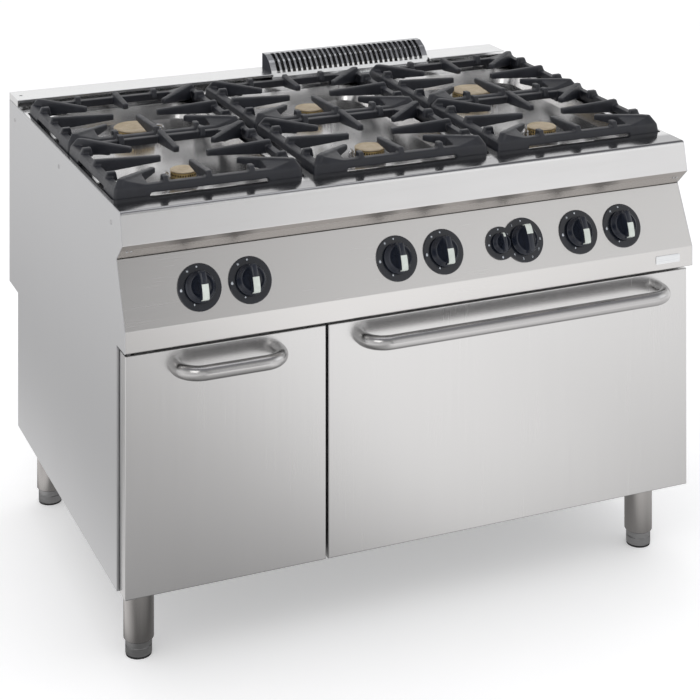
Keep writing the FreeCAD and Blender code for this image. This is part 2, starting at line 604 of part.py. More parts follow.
def pan_support(cx, y0, y1, back_tip, front_tip):
    """Cast frame; the tips are the distances of two finger ends from its centre."""
    cy, hy, hx = (y0 + y1) / 2, (y1 - y0) / 2, SUPPORT_HALF_X
    bevel_z, top_z, ring_z = 866.0, 883.0, 869.5

    def frame_wire(inset, z):
        return flat_wire(rect(cx - hx, cx + hx, cy - hy, cy + hy, 6.0, inset), z)

    # outside: nearly upright, then a steep bevel to the top
    envelope = loft(frame_wire(0, SUPPORT_Z0), frame_wire(3.0, bevel_z))
    envelope = envelope.fuse(loft(frame_wire(3.0, bevel_z), frame_wire(14.0, top_z)))
    inside = loft(frame_wire(13.5, SUPPORT_Z0 - 1), frame_wire(20.5, ring_z + 2))
    ring = envelope.common(box(cx - hx - 1, cx + hx + 1, cy - hy - 1, cy + hy + 1,
                               SUPPORT_Z0 - 1, ring_z)).cut(inside)
    # low arches under the walls leave a foot at each corner
    ring = ring.cut(turned(arch(hy, 2 * hx + 10), 90, cx, cy))
    ring = ring.cut(turned(arch(hx, 2 * hy + 10), 0, cx, cy))
    items = [ring]

    # inclined corner fins, highest over the corner
    corner = math.hypot(hx - 9, hy - 9)
    diagonal = math.degrees(math.atan2(hy - 9, hx - 9))
    tip = 112.0
    for angle in (diagonal, 180 - diagonal, 180 + diagonal, -diagonal):
        side = rib([(tip, 864), (corner - 30, 851), (corner + 30, 851), (corner + 30, top_z),
                    (corner - 26, top_z - 0.5), (tip, 875)], 40.0)
        plan = prism_z([(tip, -5.5, 2), (corner - 40, -6.5), (corner + 22, -6.5),
                        (corner + 22, 6.5), (corner - 40, 6.5), (tip, 5.5, 2)], 850, top_z + 1)
        side, plan = turned(side, angle, cx, cy), turned(plan, angle, cx, cy)
        items.append(plan.common(side).common(envelope))

    # sloping webs between the fins and the front or rear wall
    web_x = hx - 70.0
    web_top = [(hx - 15.0, hy - 14.6, 881.5), (hx - 5.0, hy - 5.0, 867.5),
               (web_x, hy - 4.0, 868.0), (web_x, web_x * (hy - 9) / (hx - 9), 877.0)]
    for side_x in (-1, 1):
        for side_y in (-1, 1):
            web = corner_web(web_top, 853.0, cx, cy, side_x, side_y)
            items.append(web.common(envelope))

    # fingers towards the burner with a heel over the wall
    for angle, tip, wall in ((0, 48.0, hx), (180, 48.0, hx), (90, back_tip, hy),
                             (-90, front_tip, hy)):
        finger = rib([(tip, 862), (wall - 24, 853.5), (wall - 6, 856), (wall - 3.4, 865),
                      (wall - 9, 880.5), (tip, 874)], 12.0)
        items.append(turned(finger, angle, cx, cy))

    # blocks on the walls that keep small pans level
    for turn in (180, 0):
        for along in (-86.0, 86.0):
            for angle, wall in ((0, hx), (90, hy)):
                block = rib([(wall - 30, 862), (wall - 3.5, 862), (wall - 3.2, 866),
                             (wall - 9, 880), (wall - 26, 880)], 11.0, along)
                items.append(turned(block, angle + turn, cx, cy))
    return fuse(items)


# ------------------------------------------------------------- legs and feet
LEGS = [(x, y) for x in (-540.0, 540.0) for y in (80.0, 739.0)]
LEG_R, LEG_WALL, LEG_Z0 = 28.5, 1.6, 30.0
STEM_R = 5.0


def leg_tube(x, y):
    """Tube with an inner disc that guides the stem of the foot."""
    tube = post(LEG_R, BODY_Z - SEAT - LEG_Z0, LEG_Z0, x, y)
    tube = tube.makeChamfer(2.0, [e for e in tube.Edges if e.BoundBox.ZMax < LEG_Z0 + 0.1])
    tube = tube.cut(post(LEG_R - LEG_WALL - 0.6, 110.0 - LEG_Z0, LEG_Z0 - 1, x, y))
    tube = tube.cut(post(LEG_R - LEG_WALL, 35, 120, x, y))
    return tube.cut(post(STEM_R + RUN, 40, 95, x, y))


def levelling_foot(x, y):
    # radius, height, z0
    steps = [(24.2, 4.0, 0), (25.0, 14.0, 4.0), (23.6, 2.2, 18.0), (25.0, 28.0, 20.0),
             (STEM_R, 92.0, 48.0)]
    return fuse([post(*step, x, y) for step in steps])


# --------------------------------------------------------------------- doors
DOOR_SHEET = 1.2
PIN_R = 4.0
CUP_HINGE_X, CUP_HINGE_Y = -583.0, -2.0         # upright axis
OVEN_HINGE_Y, OVEN_HINGE_Z = 2.0, 165.0         # axis along x
HINGE_ARM_X = (-150.0, 547.0)                   # the two arms of the oven door
LINER_INSET = 1.3


def door_skin(x0, x1):
    """Pan-formed outer skin: front sheet with all four edges folded back."""
    skin = box(x0, x1, DOOR_FRONT, DOOR_BACK, DOOR_Z0, DOOR_Z1)
    skin = skin.makeFillet(2.0, [e for e in skin.Edges
                                 if abs(e.BoundBox.YMin - DOOR_FRONT) < 0.01
                                 and e.BoundBox.YLength < 0.01])
    return skin.cut(box(x0 + DOOR_SHEET, x1 - DOOR_SHEET, DOOR_FRONT + DOOR_SHEET,
                        DOOR_BACK + 1, DOOR_Z0 + DOOR_SHEET, DOOR_Z1 - DOOR_SHEET))


def door_liner(x0, x1):
    """Inner liner: closes the rear of the skin."""
    x0, x1 = x0 + LINER_INSET, x1 - LINER_INSET
    z0, z1 = DOOR_Z0 + LINER_INSET, DOOR_Z1 - LINER_INSET
    liner = box(x0, x1, DOOR_BACK - 14, DOOR_BACK, z0, z1)
    return liner.cut(box(x0 + DOOR_SHEET, x1 - DOOR_SHEET, DOOR_BACK - 15,
                         DOOR_BACK - DOOR_SHEET, z0 + DOOR_SHEET, z1 - DOOR_SHEET))


def cupboard_pin_bore():
    return post(PIN_R + RUN, DOOR_Z1 - DOOR_Z0 + 10, DOOR_Z0 - 5, CUP_HINGE_X, CUP_HINGE_Y)


def cupboard_door_skin():
    return door_skin(*CUPBOARD_DOOR_X).cut(cupboard_pin_bore())


def cupboard_door_liner():
    """Liner with a bored hinge block at its lower and upper left corners."""
    x0 = CUPBOARD_DOOR_X[0]
    blocks = [box(x0 + 2.0, x0 + 24, CUP_HINGE_Y - 9, DOOR_BACK - 1.0, z0, z1)
              for z0, z1 in ((DOOR_Z0 + LINER_INSET, DOOR_Z0 + 26),
                             (DOOR_Z1 - 26, DOOR_Z1 - LINER_INSET))]
    liner = door_liner(*CUPBOARD_DOOR_X).fuse(blocks).removeSplitter()
    return liner.cut(cupboard_pin_bore())


def arm_notch(x):
    return box(x - 5, x + 5, OVEN_HINGE_Y - 8.5, DOOR_BACK + 1, DOOR_Z0 - 1, OVEN_HINGE_Z + 24)


def oven_door_skin():
    skin = door_skin(*OVEN_DOOR_X)
    for x in HINGE_ARM_X:
        skin = skin.cut(arm_notch(x))
    return skin


def oven_door_liner():
    """Liner with a pair of bored lugs beside each hinge arm."""
    liner = door_liner(*OVEN_DOOR_X)
    for x in HINGE_ARM_X:
        liner = liner.fuse([box(x0, x0 + 12, OVEN_HINGE_Y - 9, DOOR_BACK - 1.0,
                                DOOR_Z0 + LINER_INSET, OVEN_HINGE_Z + 16)
                            for x0 in (x - 18, x + 6)])
    liner = liner.removeSplitter()
    for x in HINGE_ARM_X:
        liner = liner.cut(arm_notch(x))
        liner = liner.cut(cyl((x - 15, OVEN_HINGE_Y, OVEN_HINGE_Z), RIGHT, PIN_R + RUN, 30))
    return liner


def door_hinge_pins():
    tab_x = (-592, -574)
    y, z = OVEN_HINGE_Y, OVEN_HINGE_Z
    pins = [fuse([box(*tab_x, -11, 60, 149.5, 152.5), box(*tab_x, 24, 60, 152.4, 153.95),
                  post(PIN_R, 20, 152, CUP_HINGE_X, CUP_HINGE_Y)]),
            fuse([box(*tab_x, -11, 21.5, 598.5, 601.5),
                  post(PIN_R, 26, 574, CUP_HINGE_X, CUP_HINGE_Y)])]
    for x in HINGE_ARM_X:
        pins.append(fuse([box(x - 4, x + 4, y, FRAME_Y0 - SEAT, z - 5, z + 5),
                          cyl((x - 4, y, z), RIGHT, 6.5, 8),
                          cyl((x - 14, y, z), RIGHT, PIN_R, 28)]))
    return group(pins)


def bow_handle(x0, x1):
    """Round bar bent twice, standing on the door front."""
    y0 = DOOR_FRONT - SEAT
    path = [Vector(x0, y0, HANDLE_Z), Vector(x0, HANDLE_Y, HANDLE_Z),
            Vector(x1, HANDLE_Y, HANDLE_Z), Vector(x1, y0, HANDLE_Z)]
    edges = []
    last = path[0]
    for before, corner, after in zip(path, path[1:], path[2:]):
        start, middle, end = corner_arc(before, corner, after, HANDLE_BEND)
        if (start - last).Length > 1e-6:
            edges.append(Part.makeLine(last, start))
        edges.append(Part.Arc(start, middle, end).toShape())
        last = end
    edges.append(Part.makeLine(last, path[-1]))
    section = Part.Wire(Part.makeCircle(HANDLE_R, path[0], Vector(*FORWARD)))
    return Part.Wire(edges).makePipeShell([section], True, True)


# ---------------------------------------------------------------------- oven
def oven_chamber():
    """Box open to the front, with holes for the flue and the burner pipe."""
    chamber = box(CAV_X0 - SHEET, CAV_X1 + SHEET, CAV_Y0, CAV_Y1 + SHEET,
                  CAV_Z0 - SHEET, CAV_Z1 + SHEET)
    chamber = chamber.cut(box(CAV_X0, CAV_X1, CAV_Y0 - 1, CAV_Y1, CAV_Z0, CAV_Z1))
    chamber = chamber.cut(box(*FLUE_PORT, CAV_Z1 - 1, CAV_Z1 + 5))
    return chamber.cut(cyl((OVEN_PIPE_X, CAV_Y1 - 1, OVEN_PIPE_Z), BACK, 5.3, 5))


def oven_insulation():
    wool = box(CAV_X0 - 25, CAV_X1 + 25, CAV_Y0, CAV_Y1 + 30, CAV_Z0 - 30, CAV_Z1 + 30.9)
    wool = wool.cut(box(CAV_X0 - LAP, CAV_X1 + LAP, CAV_Y0 - 1, CAV_Y1 + LAP,
                        CAV_Z0 - LAP, CAV_Z1 + LAP))
    wool = wool.cut(box(*FLUE_PORT, CAV_Z1, CAV_Z1 + 40))
    return wool.cut(cyl((OVEN_PIPE_X, CAV_Y1, OVEN_PIPE_Z), BACK, 8, 40))


def oven_floor_plate():
    """Plate on two side rails, with a row of slots along each side."""
    y0, y1 = CAV_Y0 + 12, CAV_Y1 - 12
    plate = box(CAV_X0 + 3, CAV_X1 - 3, y0, y1, OVEN_FLOOR_Z, OVEN_FLOOR_Z + 2.5)
    plate = plate.fuse([box(x0, x0 + 3, y0, y1, CAV_Z0 + 0.1, OVEN_FLOOR_Z + 1)
                        for x0 in (CAV_X0 + 3, CAV_X1 - 6)]).removeSplitter()
    slots = [box(x0, x0 + 14, 90 + k * 80, 140 + k * 80, OVEN_FLOOR_Z - 1, OVEN_FLOOR_Z + 4)
             for k in range(7) for x0 in (CAV_X0 + 30, CAV_X1 - 44)]
    return plate.cut(group(slots))


def oven_burner():
    """Fork of pipes below the floor plate, fed along its middle."""
    radius, z = 9.0, OVEN_PIPE_Z
    x0, x1, y0, y1 = 60, 340, 140, 540
    pipes = [cyl((OVEN_PIPE_X, CAV_Y1 - 0.2, z), FORWARD, radius, 560),
             cyl((x0, y0, z), RIGHT, radius, x1 - x0),
             cyl((x0, y0, z), BACK, radius, y1 - y0),
             cyl((x1, y0, z), BACK, radius, y1 - y0)]
    joints = [(x0, y0), (x1, y0), (OVEN_PIPE_X, 132), (x0, y1), (x1, y1)]
    return fuse(pipes + [ball(11.0, (x, y, z)) for x, y in joints])


RACK_Z = 330.0            # level that holds the rack


def oven_rack_guides():
    return group([box(x0, x1, CAV_Y0 + 25, CAV_Y1 - 15, z - 7.0, z - 5.5)
                  for z in (RACK_Z, RACK_Z + 100.0, RACK_Z + 50.0)
                  for x0, x1 in ((CAV_X0 + 0.1, CAV_X0 + 14), (CAV_X1 - 14, CAV_X1 - 0.1))])


def oven_rack():
    """Rectangle of thick wire with fifteen thinner wires from front to rear."""
    radius = 4.0
    z = RACK_Z - 5.4 + radius
    x0, x1, y0, y1 = CAV_X0 + 6, CAV_X1 - 6, 60, 650
    width, depth = x1 - x0, y1 - y0
    wires = [cyl((x0, y0, z), BACK, radius, depth), cyl((x1, y0, z), BACK, radius, depth),
             cyl((x0, y0, z), RIGHT, radius, width), cyl((x0, y1, z), RIGHT, radius, width)]
    wires += [ball(radius, (x, y, z)) for y in (y0, y1) for x in (x0, x1)]
    wires += [cyl((x0 + width * k / 16, y0, z + 1.0), BACK, 2.5, depth) for k in range(1, 16)]
    return fuse(wires)


def oven_door_seal():
    outer = (CAV_X0 - 16, CAV_X1 + 16, 218, CAV_Z1 + 14)
    seal = prism_z(rect(*outer, 10), 0, 5.0).cut(prism_z(rect(*outer, 6, 8), -1, 7.0))
    return stand_up(seal, FRAME_Y0 - SEAT, 0)


# ------------------------------------------------------------------- fixings
def fixings():
    """Screw heads on the side panels, under the fascia and on the back."""
    heads = []
    for side in (-1, 1):
        for y in (57.0, 435.0, 815.0):
            heads.append(Part.makeCone(5.0, 3.6, 1.2, Vector(side * HALF_W, y, 816),
                                       Vector(side, 0, 0)))
    outward = Vector(0, FASCIA_IN[1] - FASCIA_LOW[1], FASCIA_LOW[0] - FASCIA_IN[0]).normalize()
    for x in (-585.0, -577.0, 577.0, 585.0):
        middle = Vector(x, (FASCIA_LOW[0] + FASCIA_IN[0]) / 2, (FASCIA_LOW[1] + FASCIA_IN[1]) / 2)
        heads.append(Part.makeCone(2.6, 1.8, 1.2, middle + outward * SEAT, outward))
    for x in (-560.0, -300.0, 0.0, 300.0, 560.0):
        for z in (480.0, 820.0):
            heads.append(Part.makeCone(4.5, 3.2, 1.8, Vector(x, REAR_Y - LAP + SEAT, z),
                                       Vector(*BACK)))
    return group(heads)


# --------------------------------------------------------------- write parts
os.makedirs("parts", exist_ok=True)

save("side_panel_left", side_panel(-1))
save("side_panel_right", side_panel(1))
for piece in (base_pan, front_frame, partition, back_panel, worktop, rear_shelf, flue_hood,
              flue_duct, control_panel, badge_plate, oven_control_bezel, oven_gas_valve,
              cupboard_door_skin, cupboard_door_liner, oven_door_skin, oven_door_liner,
              door_hinge_pins, oven_chamber, oven_insulation, oven_floor_plate, oven_burner,
              oven_rack_guides, oven_rack, oven_door_seal, fixings):
    save(piece.__name__, piece())

save("burner_bezels", group([on_panel(burner_bezel(), x) for x in KNOB_X]))
for i, x in enumerate(KNOB_X):
    save("burner_knob_%d" % (i + 1), on_panel(burner_knob(), x))
    save("tap_spindle_%d" % (i + 1), on_panel(tap_spindle(), x))
save("thermostat_knob", on_panel(oven_knob(LARGE_KNOB), THERMO_X))
save("selector_knob", on_panel(oven_knob(SMALL_KNOB), SELECT_X))
save("gas_taps", group([on_panel(gas_tap(), x) for x in KNOB_X]))
save("gas_pipework", group([manifold()] + [burner_feed(i) for i in range(6)] + [oven_feed()]))

save("burner_cups", group([burner_cup(*place) for place in BURNERS]))
save("burner_heads", group([burner_head(*place) for place in BURNERS]))
save("pilot_burners", group([pilot_burner(*place) for place in BURNERS]))
# the fingers on the wall between the two rows reach further in
number = 0
for row, tips in zip(SUPPORT_ROWS, ((44.0, 46.0), (66.0, 22.0))):
    for cx in COLUMNS:
        number += 1
        save("pan_support_%d" % number, pan_support(cx, *row, *tips))

save("leg_tubes", group([leg_tube(*place) for place in LEGS]))
for i, place in enumerate(LEGS):
    save("levelling_foot_%d" % (i + 1), levelling_foot(*place))
save("cupboard_handle", bow_handle(*CUPBOARD_HANDLE_X))
save("oven_door_handle", bow_handle(*OVEN_HANDLE_X))
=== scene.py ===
import bpy, bmesh, json, math
from mathutils import Vector, Matrix


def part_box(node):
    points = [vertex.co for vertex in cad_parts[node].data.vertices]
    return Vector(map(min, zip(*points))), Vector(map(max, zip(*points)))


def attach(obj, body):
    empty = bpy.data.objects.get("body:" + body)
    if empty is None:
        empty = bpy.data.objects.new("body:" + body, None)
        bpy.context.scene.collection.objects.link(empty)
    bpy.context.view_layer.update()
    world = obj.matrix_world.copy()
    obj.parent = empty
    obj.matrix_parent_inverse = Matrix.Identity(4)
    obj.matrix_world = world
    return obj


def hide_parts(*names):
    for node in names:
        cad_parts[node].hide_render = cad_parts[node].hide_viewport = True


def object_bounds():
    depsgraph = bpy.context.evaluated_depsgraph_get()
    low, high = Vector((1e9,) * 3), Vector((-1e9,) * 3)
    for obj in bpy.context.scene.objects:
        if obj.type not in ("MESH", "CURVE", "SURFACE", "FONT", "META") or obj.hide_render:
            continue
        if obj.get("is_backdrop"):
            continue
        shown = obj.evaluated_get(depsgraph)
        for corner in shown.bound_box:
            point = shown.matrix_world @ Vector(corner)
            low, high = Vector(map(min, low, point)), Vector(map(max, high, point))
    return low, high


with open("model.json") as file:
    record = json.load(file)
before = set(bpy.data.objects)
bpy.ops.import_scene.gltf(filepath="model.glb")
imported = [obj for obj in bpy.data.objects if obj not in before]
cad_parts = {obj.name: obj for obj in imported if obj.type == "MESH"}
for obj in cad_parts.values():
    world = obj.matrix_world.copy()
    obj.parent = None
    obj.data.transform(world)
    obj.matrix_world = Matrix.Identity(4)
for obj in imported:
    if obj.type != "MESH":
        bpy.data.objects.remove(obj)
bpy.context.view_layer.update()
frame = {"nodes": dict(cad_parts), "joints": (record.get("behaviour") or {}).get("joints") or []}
NODES = frame["nodes"]
JOINT = {j["name"]: j for j in frame["joints"]}
SC = bpy.context.scene
MM = 0.001


# =========================================================== material helpers
class Mat:
    """Small builder for node materials."""

    def __init__(self, name):
        self.m = bpy.data.materials.new(name)
        self.m.use_nodes = True
        self.t = self.m.node_tree
        self.t.nodes.clear()
        self.out = self.n("ShaderNodeOutputMaterial")
        self.b = self.n("ShaderNodeBsdfPrincipled")
        self.l(self.b.outputs[0], self.out.inputs[0])
        tc = self.n("ShaderNodeTexCoord")
        self.obj = tc.outputs["Object"]
        self.geo = self.n("ShaderNodeNewGeometry")

    def n(self, kind, **kw):
        x = self.t.nodes.new(kind)
        for k, v in kw.items():
            setattr(x, k, v)
        return x

    def l(self, a, b):
        self.t.links.new(a, b)

    def set(self, **kw):
        for k, v in kw.items():
            self.b.inputs[k.replace("_", " ")].default_value = v
        return self

    def vec(self, scale, src=None, loc=(0, 0, 0), rot=(0, 0, 0)):
        m = self.n("ShaderNodeMapping")
        m.inputs["Scale"].default_value = scale
        m.inputs["Location"].default_value = loc
        m.inputs["Rotation"].default_value = rot
        self.l(src or self.obj, m.inputs["Vector"])
        return m.outputs[0]

    def noise(self, vec, scale=1.0, detail=2.0, rough=0.5, dist=0.0):
        x = self.n("ShaderNodeTexNoise")
        x.inputs["Scale"].default_value = scale
        x.inputs["Detail"].default_value = detail
        x.inputs["Roughness"].default_value = rough
        x.inputs["Distortion"].default_value = dist
        self.l(vec, x.inputs["Vector"])
        return x.outputs["Fac"]

    def ramp(self, fac, stops):
        r = self.n("ShaderNodeValToRGB")
        e = r.color_ramp.elements
        col = [(c, c, c, 1) if isinstance(c, (int, float)) else (*c, 1) for _, c in stops]
        e[0].position, e[0].color = stops[0][0], col[0]
        e[1].position, e[1].color = stops[-1][0], col[-1]
        for (p, _), c in list(zip(stops, col))[1:-1]:
            e.new(p).color = c
        self.l(fac, r.inputs["Fac"])
        return r.outputs["Color"]

    def rng(self, fac, a, b, c, d):
        r = self.n("ShaderNodeMapRange")
        for k, v in zip(("From Min", "From Max", "To Min", "To Max"), (a, b, c, d)):
            r.inputs[k].default_value = v
        self.l(fac, r.inputs["Value"])
        return r.outputs[0]

    def curve(self, fac, pts, top=1.6):
        """Value through (position, value) points."""
        p0, p1 = pts[0][0], pts[-1][0]
        rp = self.ramp(self.rng(fac, p0, p1, 0, 1), [((p - p0) / (p1 - p0), v / top) for p, v in pts])
        return self.math("MULTIPLY", rp, top)

    def math(self, op, a, b=None):
        r = self.n("ShaderNodeMath", operation=op)
        for i, v in enumerate((a, b)):
            if v is None:
                continue
            if isinstance(v, (int, float)):
                r.inputs[i].default_value = v
            else:
                self.l(v, r.inputs[i])
        return r.outputs[0]

    def mix(self, fac, a, b, kind="MIX"):
        r = self.n("ShaderNodeMix", data_type="RGBA", blend_type=kind)
        if isinstance(fac, (int, float)):
            r.inputs[0].default_value = fac
        else:
            self.l(fac, r.inputs[0])
        for i, v in ((6, a), (7, b)):
            if isinstance(v, tuple):
                r.inputs[i].default_value = (*v, 1)
            else:
                self.l(v, r.inputs[i])
        return r.outputs[2]

    def bump(self, h, strength, dist, prev=None):
        r = self.n("ShaderNodeBump")
        r.inputs["Strength"].default_value = strength
        r.inputs["Distance"].default_value = dist
        self.l(h, r.inputs["Height"])
        if prev is not None:
            self.l(prev, r.inputs["Normal"])
        return r.outputs[0]

    def brushed(self, amount, axis):
        """Stretches reflections along an axis, across the brushing."""
        self.b.inputs["Anisotropic"].default_value = amount
        c = self.n("ShaderNodeCombineXYZ")
        for i, v in enumerate(axis):
            c.inputs[i].default_value = v
        self.l(c.outputs[0], self.b.inputs["Tangent"])
        return self

    def done(self, color=None, rough=None, normal=None):
        if color is not None:
            self.l(color, self.b.inputs["Base Color"])
        if rough is not None:
            self.l(rough, self.b.inputs["Roughness"])
        if normal is not None:
            self.l(normal, self.b.inputs["Normal"])
        return self.m


def steel(name, base, rough=0.34, grain="z", streak=0.05, bump=0.05, var=0.04, wave=0.25, aniso=0.0, axis=(1, 0, 0)):
    """Brushed stainless sheet: fine stretched grain, soft cloudy polish marks and
    the slight waviness of thin sheet."""
    k = Mat(name)
    k.set(Metallic=1.0)
    if aniso:
        k.brushed(aniso, axis)
    fine = {"z": (900, 900, 7), "x": (7, 900, 900), "y": (900, 7, 900)}[grain]
    mid = {"z": (170, 170, 2.2), "x": (2.2, 170, 170), "y": (170, 2.2, 170)}[grain]
    g1 = k.noise(k.vec(fine), 1.0, 2.0, 0.6)
    g2 = k.noise(k.vec(mid, loc=(3.1, 1.7, 9.2)), 1.0, 3.0, 0.6)
    cl = k.noise(k.vec((2.6, 2.6, 2.6)), 1.0, 2.0, 0.5)
    sm = k.noise(k.vec((7, 7, 7), loc=(5, 2, 1)), 1.0, 2.0, 0.5)
    g = k.math("ADD", k.math("MULTIPLY", g1, 0.5), k.math("MULTIPLY", g2, 0.5))
    lo = tuple(c * (1 - streak) for c in base)
    hi = tuple(min(1, c * (1 + streak)) for c in base)
    col = k.mix(k.rng(g, 0.35, 0.65, 0, 1), lo, hi)
    col = k.mix(k.rng(cl, 0.35, 0.7, 0, var), col, tuple(c * 0.72 for c in base))
    col = k.mix(k.rng(sm, 0.45, 0.78, 0, var), col, tuple(min(1, c * 1.08) for c in base))
    r = k.math("ADD", k.rng(g, 0.3, 0.7, rough - 0.012, rough + 0.014), k.rng(sm, 0.35, 0.75, -0.004, 0.008))
    nb = k.bump(g, bump * 0.35, 0.0003)
    nb = k.bump(cl, wave, 0.004, nb)
    return k.done(col, r, nb)


def cast_iron(name):
    """Matt enamelled casting: fine orange-peel, darker pits and a painted highlight on the high edges."""
    k = Mat(name)
    k.set(Metallic=0.0, Specular_IOR_Level=0.55)
    a = k.noise(k.vec((260, 260, 260)), 1.0, 3.0, 0.6)
    b = k.noise(k.vec((38, 38, 38), loc=(2, 7, 1)), 1.0, 4.0, 0.6, 0.6)
    c = k.noise(k.vec((9, 9, 9)), 1.0, 3.0, 0.5)
    col = k.mix(k.rng(b, 0.35, 0.68, 0, 1), (0.0082, 0.0094, 0.0145), (0.0148, 0.0166, 0.0240))
    col = k.mix(k.rng(c, 0.45, 0.7, 0, 0.3), col, (0.021, 0.0225, 0.029))
    # painted highlight: edges found by pointiness are lightened
    edge_highlight = k.rng(k.geo.outputs["Pointiness"], 0.515, 0.60, 0, 0.55)
    col = k.mix(edge_highlight, col, (0.060, 0.064, 0.078))
    r = k.math("ADD", k.rng(b, 0.3, 0.7, 0.40, 0.54), k.rng(a, 0.3, 0.7, -0.03, 0.04))
    nb = k.bump(b, 0.32, 0.0012)
    nb = k.bump(a, 0.30, 0.0005, nb)
    return k.done(col, r, nb)


def plastic(name, col=(0.014, 0.016, 0.021), rough=0.24, tex=0.05):
    k = Mat(name)
    k.set(Specular_IOR_Level=0.5)
    a = k.noise(k.vec((420, 420, 420)), 1.0, 2.0, 0.6)
    b = k.noise(k.vec((30, 30, 30)), 1.0, 4.0, 0.6, 0.5)
    c = k.mix(k.rng(b, 0.4, 0.7, 0, 0.5), col, tuple(x * 1.5 + 0.003 for x in col))
    r = k.math("ADD", k.rng(b, 0.3, 0.7, rough - 0.03, rough + 0.08), k.rng(a, 0.3, 0.7, -0.01, 0.02))
    return k.done(c, r, k.bump(a, tex, 0.0003))


def tinted(name, base, alt, rough=0.35, metal=1.0, scale=40, bump=0.15, thr=(0.4, 0.65)):
    """Metal with patchy second colour: heat tint, oxide or galvanising."""
    k = Mat(name)
    k.set(Metallic=metal)
    a = k.noise(k.vec((scale, scale, scale)), 1.0, 4.0, 0.6, 0.8)
    b = k.noise(k.vec((scale * 9,) * 3), 1.0, 2.0, 0.6)
    c = k.mix(k.rng(a, thr[0], thr[1], 0, 1), base, alt)
    r = k.math("ADD", k.rng(a, 0.3, 0.7, rough - 0.05, rough + 0.1), k.rng(b, 0.3, 0.7, -0.03, 0.04))
    return k.done(c, r, k.bump(b, bump, 0.0003))


M = {}
M["side"] = steel("steel_side", (0.595, 0.60, 0.612), 0.34, "z", 0.012, 0.03, 0.04, 0.10, 0.3, (0, 1, 0))
M["door"] = steel("steel_door", (0.60, 0.597, 0.597), 0.26, "z", 0.012, 0.010, 0.03, 0.04, 0.15, (1, 0, 0))
M["panel"] = steel("steel_panel", (0.60, 0.592, 0.587), 0.26, "x", 0.010, 0.008, 0.03, 0.04, 0.4, (0, 0, 1))
M["shelf"] = steel("steel_shelf", (0.78, 0.785, 0.79), 0.26, "x", 0.02, 0.03, 0.03, 0.1, 0.4, (0, 1, 0))
M["handle"] = steel("steel_handle", (0.475, 0.47, 0.47), 0.24, "x", 0.03, 0.03, 0.04, 0.0)
M["leg"] = steel("steel_leg", (0.475, 0.46, 0.45), 0.22, "z", 0.03, 0.03, 0.05, 0.0)
M["liner"] = steel("steel_liner", (0.56, 0.565, 0.575), 0.42, "x", 0.05, 0.06, 0.14, 0.35)
M["galv"] = tinted("galvanised", (0.46, 0.465, 0.47), (0.56, 0.565, 0.575), 0.42, 1.0, 55, 0.10)
# painted shade: the duct is kept near-black so the inside of the hood reads dark through the slots
M["duct"] = tinted("duct_painted_dark", (0.10, 0.095, 0.09), (0.17, 0.165, 0.16), 0.6, 0.6, 30, 0.2)
M["brass"] = tinted("tap_brass", (0.62, 0.46, 0.20), (0.50, 0.38, 0.18), 0.32, 1.0, 60, 0.12)
M["pipe"] = tinted("zinc_pipe", (0.42, 0.42, 0.43), (0.52, 0.51, 0.47), 0.38, 1.0, 50, 0.15)
M["cup"] = tinted("burner_cup", (0.30, 0.30, 0.305), (0.20, 0.19, 0.18), 0.5, 0.85, 70, 0.3)
M["chrome"] = tinted("pilot_chrome", (0.62, 0.62, 0.64), (0.50, 0.44, 0.36), 0.16, 1.0, 90, 0.05, (0.5, 0.75))
M["hinge"] = tinted("hinge_zinc", (0.42, 0.42, 0.43), (0.34, 0.34, 0.35), 0.42, 1.0, 70, 0.2)
M["enamel"] = tinted("oven_enamel", (0.022, 0.022, 0.026), (0.040, 0.038, 0.038), 0.22, 0.0, 60, 0.15)
M["oven_floor"] = tinted("oven_floor", (0.035, 0.034, 0.034), (0.065, 0.055, 0.048), 0.45, 0.2, 35, 0.3)
M["rack"] = tinted("rack_chrome", (0.60, 0.60, 0.61), (0.50, 0.47, 0.42), 0.2, 1.0, 40, 0.05)
M["burnt"] = tinted("oven_burner_tube", (0.30, 0.27, 0.26), (0.24, 0.24, 0.32), 0.4, 1.0, 20, 0.1)
M["screw"] = tinted("screw_steel", (0.50, 0.50, 0.505), (0.40, 0.40, 0.41), 0.3, 1.0, 80, 0.05)
M["iron"] = cast_iron("cast_iron_enamel")
M["bezel"] = plastic("bezel_gloss_black", (0.0085, 0.0105, 0.0160), 0.18, 0.02)
M["knob"] = plastic("knob_black", (0.0105, 0.0135, 0.0225), 0.25, 0.05)
M["insert"] = plastic("knob_insert", (0.56, 0.60, 0.56), 0.35, 0.05)
M["mark"] = plastic("dial_print", (0.46, 0.49, 0.53), 0.45, 0.03)


